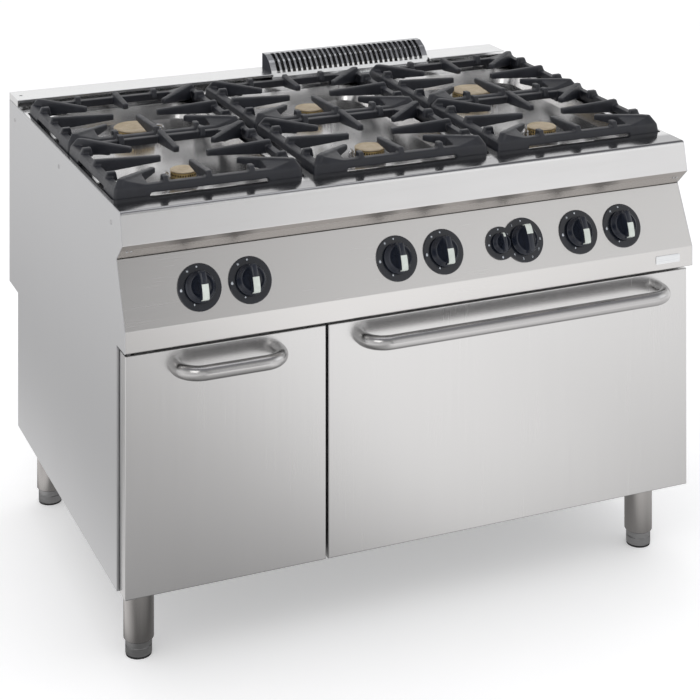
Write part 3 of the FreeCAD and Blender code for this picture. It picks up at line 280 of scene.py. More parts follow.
def hood_material():
    """Brushed flue hood: bright at its foot and darker toward the top, with painted shade on the closed left end
    face."""
    k = Mat("steel_hood")
    k.set(Metallic=1.0)
    g = k.noise(k.vec((9, 700, 700)), 1.0, 2.0, 0.55)
    b = k.noise(k.vec((22, 22, 22)), 1.0, 4.0, 0.6, 0.5)
    p = k.n("ShaderNodeSeparateXYZ")
    k.l(k.obj, p.inputs[0])
    nn = k.n("ShaderNodeSeparateXYZ")
    k.l(k.geo.outputs["Normal"], nn.inputs[0])
    # base colour grows darker toward the top of the hood
    up = k.rng(k.math("ADD", p.outputs["Z"], k.rng(b, 0.3, 0.7, -0.002, 0.002)), 0.869, 0.889, 0, 1)
    col = k.mix(up, (0.72, 0.73, 0.74), (0.34, 0.345, 0.36))
    # painted shade: the left end face is made dark, non-metallic and without specular
    end = k.math("MULTIPLY", k.math("LESS_THAN", nn.outputs["X"], -0.9), k.math("LESS_THAN", p.outputs["X"], 0.003))
    col = k.mix(end, col, (0.052, 0.054, 0.062))
    not_end_shade = k.math("SUBTRACT", 1.0, end)
    k.l(not_end_shade, k.b.inputs["Metallic"])
    k.l(k.math("MULTIPLY", not_end_shade, 0.5), k.b.inputs["Specular IOR Level"])
    r = k.math("ADD", k.rng(g, 0.3, 0.7, 0.15, 0.20), k.rng(b, 0.4, 0.7, 0, 0.05))
    return k.done(col, r, k.bump(g, 0.02, 0.0002))


M["hood"] = hood_material()


def worktop_material():
    """Polished pressed steel: fine brushing from left to right that draws reflections out from front to back, with a
    few faint rub marks, slightly darker and browner wells, a painted reflection of the supports along the front rim,
    and painted shade in the side slots and on the folded return."""
    k = Mat("steel_worktop")
    k.set(Metallic=1.0)
    k.brushed(0.72, (0, 1, 0))
    cl = k.noise(k.vec((3, 3, 3)), 1.0, 3.0, 0.5, 0.4)
    fine = k.noise(k.vec((9, 800, 800)), 1.0, 2.0, 0.55)
    rub = k.noise(k.vec((4, 60, 60), loc=(4, 4, 4)), 1.0, 3.0, 0.55, 0.3)
    col = k.mix(k.rng(cl, 0.35, 0.7, 0, 1), (0.665, 0.665, 0.670), (0.70, 0.70, 0.705))
    col = k.mix(k.rng(rub, 0.55, 0.80, 0, 0.20), col, (0.60, 0.595, 0.59))
    sp = k.n("ShaderNodeSeparateXYZ")
    k.l(k.obj, sp.inputs[0])
    well = k.rng(sp.outputs["Z"], 0.8450, 0.8420, 0.0, 1.0)
    front = k.rng(sp.outputs["Y"], -0.3930, -0.3945, 0.0, 1.0)
    # the wells are made slightly darker and browner
    col = k.mix(k.math("MULTIPLY", well, 0.20), col, (0.58, 0.565, 0.56))
    r = k.math("ADD", k.rng(rub, 0.3, 0.75, 0.085, 0.115), k.math("MULTIPLY", well, 0.12))
    r = k.math("ADD", r, k.math("MULTIPLY", front, 0.12))
    # painted reflection: a dark band along the front rim stands in for the pan supports mirrored in it
    rim_reflection = k.math("MULTIPLY", k.rng(sp.outputs["Y"], -0.336, -0.350, 0.0, 0.85), k.math("SUBTRACT", 1.0, front))
    rim_reflection = k.math("MULTIPLY", rim_reflection, k.math("GREATER_THAN", sp.outputs["Z"], 0.846))
    col = k.mix(rim_reflection, col, (0.27, 0.27, 0.28))
    # painted shade in the narrow slots beside the supports
    slot_shade = k.math("MULTIPLY", k.math("GREATER_THAN", k.math("ABSOLUTE", sp.outputs["X"]), 0.5885), k.math("LESS_THAN", sp.outputs["Z"], 0.8492))
    slot_shade = k.math("MULTIPLY", slot_shade, k.math("LESS_THAN", k.math("ABSOLUTE", sp.outputs["X"]), 0.5985))
    slot_shade = k.math("MULTIPLY", slot_shade, k.math("GREATER_THAN", sp.outputs["Y"], -0.34))
    col = k.mix(slot_shade, col, (0.10, 0.10, 0.105))
    r = k.math("ADD", r, k.rng(fine, 0.3, 0.7, -0.012, 0.012))
    # painted shade on the folded return below the front edge
    nrm = k.n("ShaderNodeSeparateXYZ")
    k.l(k.geo.outputs["Normal"], nrm.inputs[0])
    return_shade = k.math("MULTIPLY", k.math("LESS_THAN", nrm.outputs["Z"], -0.3), k.math("GREATER_THAN", sp.outputs["Z"], 0.75))
    col = k.mix(return_shade, col, (0.44, 0.415, 0.395))
    nb = k.bump(fine, 0.012, 0.0002)
    nb = k.bump(cl, 0.06, 0.003, nb)
    return k.done(col, r, nb)


M["worktop"] = worktop_material()


def foot_material():
    """Turned steel foot that ends in a black pad on the floor."""
    k = Mat("foot_steel_and_pad")
    sep = k.n("ShaderNodeSeparateXYZ")
    k.l(k.obj, sep.inputs[0])
    pad = k.math("LESS_THAN", sep.outputs["Z"], 0.0042)
    g = k.noise(k.vec((60, 60, 900)), 1.0, 3.0, 0.6)
    c = k.mix(k.rng(g, 0.3, 0.7, 0, 1), (0.40, 0.40, 0.405), (0.50, 0.50, 0.505))
    c = k.mix(pad, c, (0.018, 0.018, 0.019))
    k.l(k.math("SUBTRACT", 1.0, pad), k.b.inputs["Metallic"])
    r = k.math("ADD", k.rng(g, 0.3, 0.7, 0.30, 0.40), k.math("MULTIPLY", pad, 0.35))
    return k.done(c, r, k.bump(g, 0.06, 0.0004))


M["foot"] = foot_material()


def fibre(name, a, b, scale, rot=0.6, bump=0.6, dist=0.002):
    k = Mat(name)
    w = k.n("ShaderNodeTexWave", wave_type="BANDS", bands_direction="DIAGONAL")
    w.inputs["Scale"].default_value = scale
    w.inputs["Distortion"].default_value = 1.5
    w.inputs["Detail"].default_value = 3
    k.l(k.vec((1, 1, 1), rot=(0, 0, rot)), w.inputs["Vector"])
    s = k.noise(k.vec((300, 300, 300)), 1.0, 3.0, 0.6)
    h = k.math("ADD", k.math("MULTIPLY", w.outputs["Fac"], 0.6), k.math("MULTIPLY", s, 0.4))
    c = k.mix(h, a, b)
    k.set(Roughness=0.92)
    return k.done(c, None, k.bump(h, bump, dist))


M["wool"] = fibre("mineral_wool", (0.42, 0.36, 0.22), (0.62, 0.57, 0.42), 40)
M["rope"] = fibre("glass_rope_seal", (0.12, 0.115, 0.11), (0.30, 0.29, 0.28), 160, 0.8, 0.8, 0.0015)


def badge_material():
    k = Mat("blank_badge")
    k.set(Metallic=1.0)
    g = k.noise(k.vec((12, 700, 700)), 1.0, 2.0, 0.6)
    c = k.mix(k.rng(g, 0.3, 0.7, 0, 1), (0.60, 0.62, 0.64), (0.78, 0.79, 0.80))
    return k.done(c, k.rng(g, 0.3, 0.7, 0.25, 0.38), k.bump(g, 0.08, 0.0003))


M["badge"] = badge_material()


def burner_materials():
    k = Mat("burner_top_tan")
    k.set(Metallic=0.35)
    a = k.noise(k.vec((120, 120, 120)), 1.0, 4.0, 0.6)
    b = k.noise(k.vec((26, 26, 26)), 1.0, 3.0, 0.6, 0.4)
    c = k.mix(k.rng(b, 0.35, 0.7, 0, 1), (0.40, 0.325, 0.225), (0.52, 0.44, 0.32))
    c = k.mix(k.rng(a, 0.5, 0.75, 0, 0.4), c, (0.31, 0.245, 0.165))
    top = k.done(c, k.rng(a, 0.3, 0.7, 0.50, 0.66), k.bump(a, 0.25, 0.0005))
    k = Mat("burner_side_brass")
    k.set(Metallic=1.0)
    a = k.noise(k.vec((70, 70, 260)), 1.0, 4.0, 0.6)
    c = k.mix(k.rng(a, 0.35, 0.7, 0, 1), (0.52, 0.375, 0.16), (0.64, 0.49, 0.25))
    side = k.done(c, k.rng(a, 0.3, 0.7, 0.26, 0.42), k.bump(a, 0.15, 0.0004))
    return top, side


M["btop"], M["bside"] = burner_materials()


def dark(name, c=(0.012, 0.010, 0.009)):
    k = Mat(name)
    a = k.noise(k.vec((200, 200, 200)), 1.0, 3.0, 0.6)
    k.set(Roughness=0.8)
    return k.done(k.mix(a, c, tuple(x * 2.2 for x in c)), None, k.bump(a, 0.2, 0.0003))


# painted shade: the port recesses are near-black so they read as deep holes
M["hole"] = dark("port_painted_shade")

NODE_MAT = {
    "side_panel_left": "side", "side_panel_right": "side", "base_pan": "galv", "back_panel": "galv",
    "front_frame": "liner", "partition": "galv", "worktop": "worktop", "rear_shelf": "shelf", "flue_hood": "hood",
    "flue_duct": "duct", "control_panel": "panel", "badge_plate": "badge", "burner_bezels": "bezel",
    "oven_control_bezel": "bezel", "thermostat_knob": "knob", "selector_knob": "knob", "gas_taps": "brass",
    "oven_gas_valve": "brass", "gas_pipework": "pipe", "burner_cups": "cup", "burner_heads": "bside",
    "pilot_burners": "chrome", "leg_tubes": "leg", "cupboard_door_skin": "door", "oven_door_skin": "door",
    "cupboard_door_liner": "liner", "oven_door_liner": "liner", "cupboard_handle": "handle",
    "oven_door_handle": "handle", "door_hinge_pins": "hinge", "oven_chamber": "enamel",
    "oven_floor_plate": "oven_floor", "oven_rack": "rack", "oven_rack_guides": "rack", "oven_burner": "burnt",
    "oven_insulation": "wool", "oven_door_seal": "rope", "fixings": "screw",
}
for i in range(1, 7):
    NODE_MAT["burner_knob_%d" % i] = "knob"
    NODE_MAT["tap_spindle_%d" % i] = "brass"
    NODE_MAT["pan_support_%d" % i] = "iron"
for i in range(1, 5):
    NODE_MAT["levelling_foot_%d" % i] = "foot"
for nme, ob in NODES.items():
    mt = M[NODE_MAT[nme]]
    if not ob.material_slots:
        ob.data.materials.append(mt)
    for s in ob.material_slots:
        s.link = "OBJECT"
        s.material = mt


# =============================================================== mesh helpers
def link(name, me, mats=()):
    ob = bpy.data.objects.new(name, me)
    SC.collection.objects.link(ob)
    for m in mats:
        me.materials.append(m)
    return ob


def smooth(me, angle=40):
    me.polygons.foreach_set("use_smooth", [True] * len(me.polygons))
    me.set_sharp_from_angle(angle=math.radians(angle))
    me.update()


def apply_mods(ob):
    dg = bpy.context.evaluated_depsgraph_get()
    me = bpy.data.meshes.new_from_object(ob.evaluated_get(dg))
    ob.modifiers.clear()
    old = ob.data
    ob.data = me
    if old.users == 0:
        bpy.data.meshes.remove(old)
    return ob


def lathe(name, prof, seg=96, mats=(), mat_of=None):
    """Closed solid of revolution about +Z from (r, z) points that start and end on the axis."""
    bm = bmesh.new()
    rings = []
    for r, z in prof:
        if r < 1e-7:
            rings.append([bm.verts.new((0, 0, z))])
        else:
            rings.append([bm.verts.new((r * math.cos(2 * math.pi * i / seg), r * math.sin(2 * math.pi * i / seg), z)) for i in range(seg)])
    for k in range(len(rings) - 1):
        a, b = rings[k], rings[k + 1]
        for i in range(seg):
            j = (i + 1) % seg
            if len(a) == 1 and len(b) == 1:
                continue
            if len(a) == 1:
                f = bm.faces.new((a[0], b[j], b[i]))
            elif len(b) == 1:
                f = bm.faces.new((a[i], a[j], b[0]))
            else:
                f = bm.faces.new((a[i], a[j], b[j], b[i]))
            if mat_of:
                f.material_index = mat_of(k)
    bmesh.ops.recalc_face_normals(bm, faces=bm.faces)
    me = bpy.data.meshes.new(name)
    bm.to_mesh(me)
    bm.free()
    ob = link(name, me, mats)
    smooth(me)
    return ob


def arc(cx, cz, r, a0, a1, n):
    return [(cx + r * math.cos(math.radians(a0 + (a1 - a0) * i / n)), cz + r * math.sin(math.radians(a0 + (a1 - a0) * i / n))) for i in range(n + 1)]


def sweep(name, pts, r, seg=32, mats=(), cap=True):
    """Round tube along a dense list of points, with even quads."""
    bm = bmesh.new()
    pts = [Vector(p) for p in pts]
    t0 = (pts[1] - pts[0]).normalized()
    up = Vector((0, 0, 1)) if abs(t0.z) < 0.9 else Vector((1, 0, 0))
    nrm = t0.cross(up).normalized()
    rings = []
    prev = t0
    for i, p in enumerate(pts):
        if i == 0:
            t = t0
        elif i == len(pts) - 1:
            t = (pts[i] - pts[i - 1]).normalized()
        else:
            t = ((pts[i + 1] - pts[i]).normalized() + (pts[i] - pts[i - 1]).normalized()).normalized()
        q = prev.rotation_difference(t)
        nrm = (q @ nrm).normalized()
        prev = t
        bi = t.cross(nrm)
        rr = r[i] if isinstance(r, (list, tuple)) else r
        rings.append([bm.verts.new(p + nrm * rr * math.cos(2 * math.pi * k / seg) + bi * rr * math.sin(2 * math.pi * k / seg)) for k in range(seg)])
    for a, b in zip(rings, rings[1:]):
        for i in range(seg):
            j = (i + 1) % seg
            bm.faces.new((a[i], a[j], b[j], b[i]))
    if cap:
        bm.faces.new(rings[0][::-1])
        bm.faces.new(rings[-1])
    bmesh.ops.recalc_face_normals(bm, faces=bm.faces)
    me = bpy.data.meshes.new(name)
    bm.to_mesh(me)
    bm.free()
    ob = link(name, me, mats)
    smooth(me, 45)
    return ob


def bend_path(points, bend, n=14, step=0.02):
    """Polyline with rounded corners and evenly spaced points on the straights."""
    P = [Vector(p) for p in points]
    out = [P[0].copy()]

    def straight(to):
        a = out[-1]
        L = (to - a).length
        k = max(1, int(L / step))
        for i in range(1, k + 1):
            out.append(a.lerp(to, i / k))

    for i in range(1, len(P) - 1):
        d1, d2 = (P[i - 1] - P[i]).normalized(), (P[i + 1] - P[i]).normalized()
        half = math.acos(max(-1, min(1, d1.dot(d2)))) / 2
        k = bend / math.tan(half)
        a = P[i] + d1 * k
        c = P[i] + (d1 + d2).normalized() * (bend / math.sin(half))
        straight(a)
        e = P[i] + d2 * k
        va, ve = a - c, e - c
        for s in range(1, n + 1):
            q = va.rotation_difference(ve)
            ang = q.angle * s / n
            w = Matrix.Rotation(ang, 3, q.axis) @ va
            out.append(c + w)
    straight(P[-1])
    return out


def boxmesh(name, x0, x1, y0, y1, z0, z1, bevel=0.0, seg=3, mats=(), cuts=None):
    bm = bmesh.new()
    bmesh.ops.create_cube(bm, size=1.0)
    for v in bm.verts:
        v.co = Vector(((x0 + x1) / 2 + v.co.x * (x1 - x0), (y0 + y1) / 2 + v.co.y * (y1 - y0), (z0 + z1) / 2 + v.co.z * (z1 - z0)))
    if bevel:
        bmesh.ops.bevel(bm, geom=list(bm.edges), offset=bevel, segments=seg, affect="EDGES", profile=0.5)
    me = bpy.data.meshes.new(name)
    bm.to_mesh(me)
    bm.free()
    ob = link(name, me, mats)
    smooth(me, 50)
    return ob


def join(name, obs):
    """One object out of several, keeping their materials."""
    base = obs[0]
    with bpy.context.temp_override(active_object=base, selected_objects=obs, selected_editable_objects=obs):
        bpy.ops.object.join()
    base.name = name
    base.data.name = name
    return base


def place(ob, mtx):
    ob.data.transform(mtx)
    ob.data.update()
    return ob


# ============================================================= pan supports
def casting(src, name):
    """Softens the crisp CAD form into a sand casting with rounded edges."""
    me = NODES[src].data.copy()
    ob = link(name, me)
    ob.data.materials.clear()
    m = ob.modifiers.new("voxel", "REMESH")
    m.mode = "VOXEL"
    m.voxel_size = 0.0016
    m = ob.modifiers.new("soften", "SMOOTH")
    m.factor = 0.5
    m.iterations = 7
    m = ob.modifiers.new("thin", "DECIMATE")
    m.ratio = 0.22
    apply_mods(ob)
    ob.data.polygons.foreach_set("use_smooth", [True] * len(ob.data.polygons))
    ob.data.materials.append(M["iron"])
    return ob


for i in range(1, 7):
    lo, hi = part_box("pan_support_%d" % i)
    if i in (1, 4):
        # one pattern for the front row and one for the rear row
        lo1, first = lo, casting("pan_support_%d" % i, "pan_support_casting_%d" % i)
        ob = first
    else:
        ob = bpy.data.objects.new("pan_support_casting_%d" % i, first.data.copy())
        SC.collection.objects.link(ob)
        ob.data.transform(Matrix.Translation(lo - lo1))
    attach(ob, "pan_support_%d_body" % i)
    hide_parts("pan_support_%d" % i)


# ================================================================== burners
def head(name, R, z0, z1, cols):
    """Burner head: ported brass ring with recessed square ports in two rows and
    a matt cap plate on top."""
    bm = bmesh.new()
    seg = cols * 2
    H = z1 - z0
    cap = z1 - 0.0036
    zs = [z0, z0 + 0.0014, z0 + 0.0030, z0 + 0.0070, z0 + 0.0094, z0 + 0.0134, cap - 0.0006, cap]
    ports = {2, 4}

    def ring(r, z):
        an = [2 * math.pi * (i // 2 + (0.54 if i % 2 else 0.0)) / cols for i in range(seg)]
        return [bm.verts.new((r * math.cos(a), r * math.sin(a), z)) for a in an]

    rr = [R - 0.0016, R, R, R, R, R, R, R - 0.0012]
    rings = [ring(r, z) for r, z in zip(rr, zs)]
    pf = []
    for k in range(len(rings) - 1):
        for i in range(seg):
            j = (i + 1) % seg
            f = bm.faces.new((rings[k][i], rings[k][j], rings[k + 1][j], rings[k + 1][i]))
            f.material_index = 1
            if k in ports and i % 2 == 0:
                pf.append(f)
    # cap plate
    prof = [(R - 0.0012, cap), (R - 0.0012, cap + 0.0006), (R + 0.0004, cap + 0.0010), (R + 0.0006, cap + 0.0022), (R - 0.0002, z1 - 0.0008), (R - 0.0014, z1), (R - 0.0045, z1 - 0.0001), (R - 0.0055, z1 - 0.0006), (R * 0.45, z1 - 0.0004)]
    pr = rings[-1]
    for r, z in prof[1:]:
        nx = ring(r, z)
        for i in range(seg):
            j = (i + 1) % seg
            bm.faces.new((pr[i], pr[j], nx[j], nx[i])).material_index = 0
        pr = nx
    c = bm.verts.new((0, 0, z1 - 0.0002))
    for i in range(seg):
        bm.faces.new((pr[i], pr[(i + 1) % seg], c)).material_index = 0
    # underside
    pr = rings[0]
    for r, z in ((R - 0.008, z0), (R - 0.008, z0 - 0.0038), (R - 0.011, z0 - 0.0038)):
        nx = ring(r, z)
        for i in range(seg):
            j = (i + 1) % seg
            bm.faces.new((nx[i], nx[j], pr[j], pr[i])).material_index = 1
        pr = nx
    c = bm.verts.new((0, 0, z0 - 0.0038))
    for i in range(seg):
        bm.faces.new((pr[(i + 1) % seg], pr[i], c)).material_index = 1
    bm.normal_update()
    r = bmesh.ops.inset_individual(bm, faces=pf, thickness=0.00008, depth=0.0)
    # the port recesses take the near-black material, painted shade for their depth
    for f in pf:
        f.material_index = 2
    ex = bmesh.ops.extrude_discrete_faces(bm, faces=pf)
    for f in ex["faces"]:
        n = Vector((f.calc_center_median().x, f.calc_center_median().y, 0)).normalized()
        for v in f.verts:
            v.co -= n * 0.0028
        f.material_index = 2
    bmesh.ops.recalc_face_normals(bm, faces=bm.faces)
    me = bpy.data.meshes.new(name)
    bm.to_mesh(me)
    bm.free()
    ob = link(name, me, (M["btop"], M["bside"], M["hole"]))
    smooth(me, 35)
    return ob


def islands(node):
    """Low and high corners of the box round each separate solid of a node, with touching boxes merged, sorted by y
    and then x.
    """
    me = NODES[node].data
    par = list(range(len(me.vertices)))

    def find(a):
        while par[a] != a:
            par[a] = par[par[a]]
            a = par[a]
        return a

    for e in me.edges:
        a, b = find(e.vertices[0]), find(e.vertices[1])
        if a != b:
            par[a] = b
    key = {}
    for v in me.vertices:
        key.setdefault(find(v.index), []).append(v.co)
    boxes = []
    for pts in key.values():
        lo = Vector((min(p.x for p in pts), min(p.y for p in pts), min(p.z for p in pts)))
        hi = Vector((max(p.x for p in pts), max(p.y for p in pts), max(p.z for p in pts)))
        boxes.append([lo, hi])
    merged = True
    while merged:
        merged = False
        for i in range(len(boxes)):
            for j in range(i + 1, len(boxes)):
                a, b = boxes[i], boxes[j]
                if all(a[0][k] <= b[1][k] + 1e-4 and b[0][k] <= a[1][k] + 1e-4 for k in range(3)):
                    a[0] = Vector(map(min, a[0], b[0]))
                    a[1] = Vector(map(max, a[1], b[1]))
                    boxes.pop(j)
                    merged = True
                    break
            if merged:
                break
    return sorted(boxes, key=lambda b: (round(b[0].y, 2), b[0].x))


heads = islands("burner_heads")
pil = islands("pilot_burners")
hz1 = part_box("burner_heads")[1].z
hz0 = hz1 - 0.020
for n_, (lo, hi) in enumerate(heads):
    R = (hi.x - lo.x) / 2
    c = (lo + hi) / 2
    ob = head("burner_head_%d" % (n_ + 1), R - 0.0006, hz0, hz1, int(round(R * 2 * math.pi / 0.0052)))
    place(ob, Matrix.Translation((c.x, c.y, 0)))
    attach(ob, "root")
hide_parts("burner_heads")

# looped pilot tubes and thermocouples beside each head
pz0, pz1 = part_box("pilot_burners")
first_p = None
for n_, (lo, hi) in enumerate(pil):
    c = (lo + hi) / 2
    bx, by = None, None
    hd = min(heads, key=lambda b: ((b[0] + b[1]) / 2 - c).to_2d().length)
    hc = (hd[0] + hd[1]) / 2
    R = (hd[1].x - hd[0].x) / 2
    s = -1 if c.x < hc.x else 1
    zf = 0.8125
    ztop = 0.8385
    px = c.x - s * 0.001
    loop = bend_path([(px + s * 0.004, hc.y - 0.009, zf - 0.018), (px + s * 0.004, hc.y - 0.009, ztop), (px - s * 0.006, hc.y + 0.006, ztop), (px - s * 0.006, hc.y + 0.006, zf + 0.010), (px - s * 0.011, hc.y + 0.006, zf + 0.010)], 0.0045, 8, 0.004)
    a = sweep("pl", loop, 0.0026, 16, (M["chrome"],))
    noz = lathe("pn", [(0, 0.828), (0.0042, 0.828), (0.0048, 0.8290), (0.0048, 0.8345), (0.0036, 0.8362), (0, 0.8362)], 24, (M["chrome"],))
    place(noz, Matrix.Translation((px - s * 0.006, hc.y + 0.006, 0.0)) )
    rod = lathe("pr", [(0, zf - 0.018), (0.0019, zf - 0.018), (0.0019, zf + 0.004), (0.0032, zf + 0.004), (0.0032, zf + 0.011), (0.0019, zf + 0.012), (0.0017, zf + 0.0245), (0.0009, zf + 0.0258), (0, zf + 0.0258)], 20, (M["chrome"],))
    place(rod, Matrix.Translation((px - s * 0.004, hc.y - 0.013, 0)))
    nut = lathe("nt", [(0, zf - 0.0001), (0.0105, zf - 0.0001), (0.0105, zf + 0.0012), (0.0070, zf + 0.0022), (0.0066, zf + 0.0052), (0.0056, zf + 0.0062), (0, zf + 0.0062)], 24, (M["cup"],))
    place(nut, Matrix.Translation((px + s * 0.001, hc.y - 0.004, 0)))
    ob = join("pilot_tube_%d" % (n_ + 1), [a, noz, rod, nut])
    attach(ob, "root")
    if first_p is None:
        first_p = ob
        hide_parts("pilot_burners")


# ==================================================================== knobs
def axis_frame(joint):
    j = JOINT[joint]
    N = Vector(j["axis"]).normalized()
    X = Vector((1, 0, 0))
    U = N.cross(X)
    o = Vector(j["pos_m"])
    return Matrix(((X.x, U.x, N.x, o.x), (X.y, U.y, N.y, o.y), (X.z, U.z, N.z, o.z), (0, 0, 0, 1)))


BASE_N = 0.00655


def knob(tag, r0, r1, hs, bw, bl, hb, insert_end, ins_len, ins_w, mats):
    """Skirt with a dished top and an arched grip bar; a light insert is let into
    one end of the bar. Drawn with +Z along the spindle."""
    b = BASE_N
    n = 0.001
    prof = [(0, b), (r0 - 0.0012, b), (r0 - 0.0003, b + 0.0003), (r0, b + 0.0012), (r0 - 0.0001, b + 0.0028)]
    for i in range(1, 9):
        t = i / 8
        prof.append((r0 - 0.0003 - (r0 - r1) * (t ** 0.75), b + 0.0028 + (hs - 0.0046) * t))
    prof += [(r1 - 0.0006, b + hs - 0.0009), (r1 - 0.0016, b + hs), (r1 - 0.0032, b + hs - 0.0001), (r1 - 0.0050, b + hs - 0.0022), (r1 * 0.55, b + hs - 0.0040), (0, b + hs - 0.0044)]
    sk = lathe(tag + "_skirt", prof, 96, (mats[0],))
    # arched grip bar
    bm = bmesh.new()
    nu, top = 24, []
    half = bl / 2

    def section(u):
        k = min(1.0, abs(u) / half)
        nz = b + hb - 0.0042 * k ** 2.2
        w = bw / 2
        z_lo = b + hs * 0.35
        zs = [(-w * 1.12, z_lo), (-w * 1.04, b + hs * 0.9), (-w * 0.93, nz - 0.0030), (-w * 0.86, nz - 0.0012), (-w * 0.70, nz - 0.0003), (-w * 0.35, nz + 0.0001), (0, nz + 0.0002)]
        zs = zs + [(-x, z) for x, z in zs[-2::-1]]
        return zs

    secs = []
    us = []
    for i in range(nu + 1):
        t = -1 + 2 * i / nu
        us.append(half * math.copysign(abs(t) ** 0.75, t) if t else 0.0)
    for u in us:
        sh = 1.0
        e = half - abs(u)
        if e < 0.0035:
            sh = max(0.62, math.sqrt(max(0.0, 1 - ((0.0035 - e) / 0.0035) ** 2) * 0.6 + 0.4))
        row = []
        for x, z in section(u):
            zz = z if e > 0.0035 else z - (1 - sh) * 0.0045 * (1 if z > b + hs else 0)
            row.append(bm.verts.new((x * (0.80 + 0.20 * (sh - 0.62) / 0.38 if e < 0.0035 else 1.0), u, zz)))
        secs.append(row)
    for a, c in zip(secs, secs[1:]):
        for i in range(len(a) - 1):
            bm.faces.new((a[i], a[i + 1], c[i + 1], c[i]))
        bm.faces.new((a[-1], a[0], c[0], c[-1]))
    bm.faces.new(secs[0][::-1])
    bm.faces.new(secs[-1])
    bmesh.ops.recalc_face_normals(bm, faces=bm.faces)
    me = bpy.data.meshes.new(tag + "_bar")
    bm.to_mesh(me)
    bm.free()
    bar = link(tag + "_bar", me, (mats[0],))
    smooth(me, 42)
    # insert that follows the arch and turns down over the end of the bar
    bm = bmesh.new()
    s = insert_end
    w = ins_w / 2
    pts = []
    m_ = 12
    for i in range(m_ + 1):
        u = half * 0.985 - ins_len * (1 - i / m_)
        k = abs(u) / half
        pts.append((u, b + hb - 0.0042 * k ** 2.2 + 0.00055 - (0.0010 * max(0, (k - 0.86) / 0.14) ** 2)))
    pts.append((half + 0.0004, pts[-1][1] - 0.0022))
    pts.append((half + 0.0005, pts[-1][1] - 0.0050))
    pts.append((half + 0.0004, pts[-1][1] - 0.0030))
    rows = []
    for i, (u, z) in enumerate(pts):
        if i == 0:
            t = (pts[1][0] - u, pts[1][1] - z)
        elif i == len(pts) - 1:
            t = (u - pts[i - 1][0], z - pts[i - 1][1])
        else:
            t = (pts[i + 1][0] - pts[i - 1][0], pts[i + 1][1] - pts[i - 1][1])
        L = math.hypot(*t)
        nx, nz = -t[1] / L, t[0] / L
        o = (u, z)
        inn = (u - nx * 0.0016, z - nz * 0.0016)
        rows.append([bm.verts.new((-w, s * inn[0], inn[1])), bm.verts.new((-w, s * (u - nx * 0.0003), z - nz * 0.0003)), bm.verts.new((-w + 0.0004, s * o[0], o[1])),
                     bm.verts.new((w - 0.0004, s * o[0], o[1])), bm.verts.new((w, s * (u - nx * 0.0003), z - nz * 0.0003)), bm.verts.new((w, s * inn[0], inn[1]))])
    for a, c in zip(rows, rows[1:]):
        for i in range(5):
            bm.faces.new((a[i], a[i + 1], c[i + 1], c[i]))
        bm.faces.new((a[5], a[0], c[0], c[5]))
    bm.faces.new(rows[0][::-1])
    bm.faces.new(rows[-1])
    bmesh.ops.recalc_face_normals(bm, faces=bm.faces)
    me = bpy.data.meshes.new(tag + "_ins")
    bm.to_mesh(me)
    bm.free()
    ins = link(tag + "_insert", me, (mats[1],))
    smooth(me, 50)
    return sk, bar, ins


for i in range(1, 7):
    F = axis_frame("burner_tap_%d_turn" % i)
    sk, bar, ins = knob("k%d" % i, 0.029, 0.0245, 0.0135, 0.0135, 0.052, 0.0305, -1, 0.0265, 0.0128, (M["knob"], M["insert"]))
    ob = join("burner_knob_moulding_%d" % i, [sk, bar])
    place(ob, F)
    place(ins, F)
    ins.name = "burner_knob_insert_%d" % i
    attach(ob, "burner_knob_%d_body" % i)
    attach(ins, "burner_knob_%d_body" % i)
    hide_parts("burner_knob_%d" % i)
F = axis_frame("thermostat_knob_turn")
sk, bar, ins = knob("kt", 0.029, 0.0245, 0.0135, 0.0135, 0.052, 0.0305, 1, 0.0185, 0.0128, (M["knob"], M["insert"]))
ob = join("thermostat_knob_moulding", [sk, bar])
place(ob, F); place(ins, F)
ins.name = "thermostat_knob_insert"
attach(ob, "thermostat_knob_body"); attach(ins, "thermostat_knob_body")
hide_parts("thermostat_knob")
F = axis_frame("selector_knob_turn")
sk, bar, ins = knob("ks", 0.0198, 0.0166, 0.0100, 0.0088, 0.034, 0.0215, 1, 0.0075, 0.0042, (M["knob"], M["insert"]))
ob = join("selector_knob_moulding", [sk, bar])
place(ob, F); place(ins, F)
ins.name = "selector_knob_insert"
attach(ob, "selector_knob_body"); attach(ins, "selector_knob_body")
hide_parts("selector_knob")

# printed marks on the bezels: generic dot, spark, flames and dial numbers
BZ = 0.00307


def flat(name, outline, F, thick=0.00012):
    bm = bmesh.new()
    lo_ = [bm.verts.new((x, y, BZ)) for x, y in outline]
    hi_ = [bm.verts.new((x, y, BZ + thick)) for x, y in outline]
    n = len(outline)
    bm.faces.new(lo_[::-1])
    bm.faces.new(hi_)
    for i in range(n):
        bm.faces.new((lo_[i], lo_[(i + 1) % n], hi_[(i + 1) % n], hi_[i]))
    bmesh.ops.recalc_face_normals(bm, faces=bm.faces)
    me = bpy.data.meshes.new(name)
    bm.to_mesh(me)
    bm.free()
    ob = link(name, me, (M["mark"],))
    place(ob, F)
    return ob


def dot(cx, cy, r):
    return [(cx + r * math.cos(a * math.pi / 10), cy + r * math.sin(a * math.pi / 10)) for a in range(20)]


def star(cx, cy, r):
    return [(cx + (r if a % 2 == 0 else r * 0.36) * math.cos(a * math.pi / 8), cy + (r if a % 2 == 0 else r * 0.36) * math.sin(a * math.pi / 8)) for a in range(16)]


def flame(cx, cy, s):
    P = [(0, -1.0), (0.42, -0.9), (0.66, -0.55), (0.68, -0.15), (0.48, 0.25), (0.30, 0.55), (0.10, 1.05), (-0.06, 0.60), (-0.26, 0.35), (-0.34, 0.62), (-0.56, 0.20), (-0.70, -0.20), (-0.64, -0.6), (-0.40, -0.9)]
    return [(cx + s * x, cy + s * y) for x, y in P]


def polar(a, r):
    return r * math.cos(math.radians(a)), r * math.sin(math.radians(a))


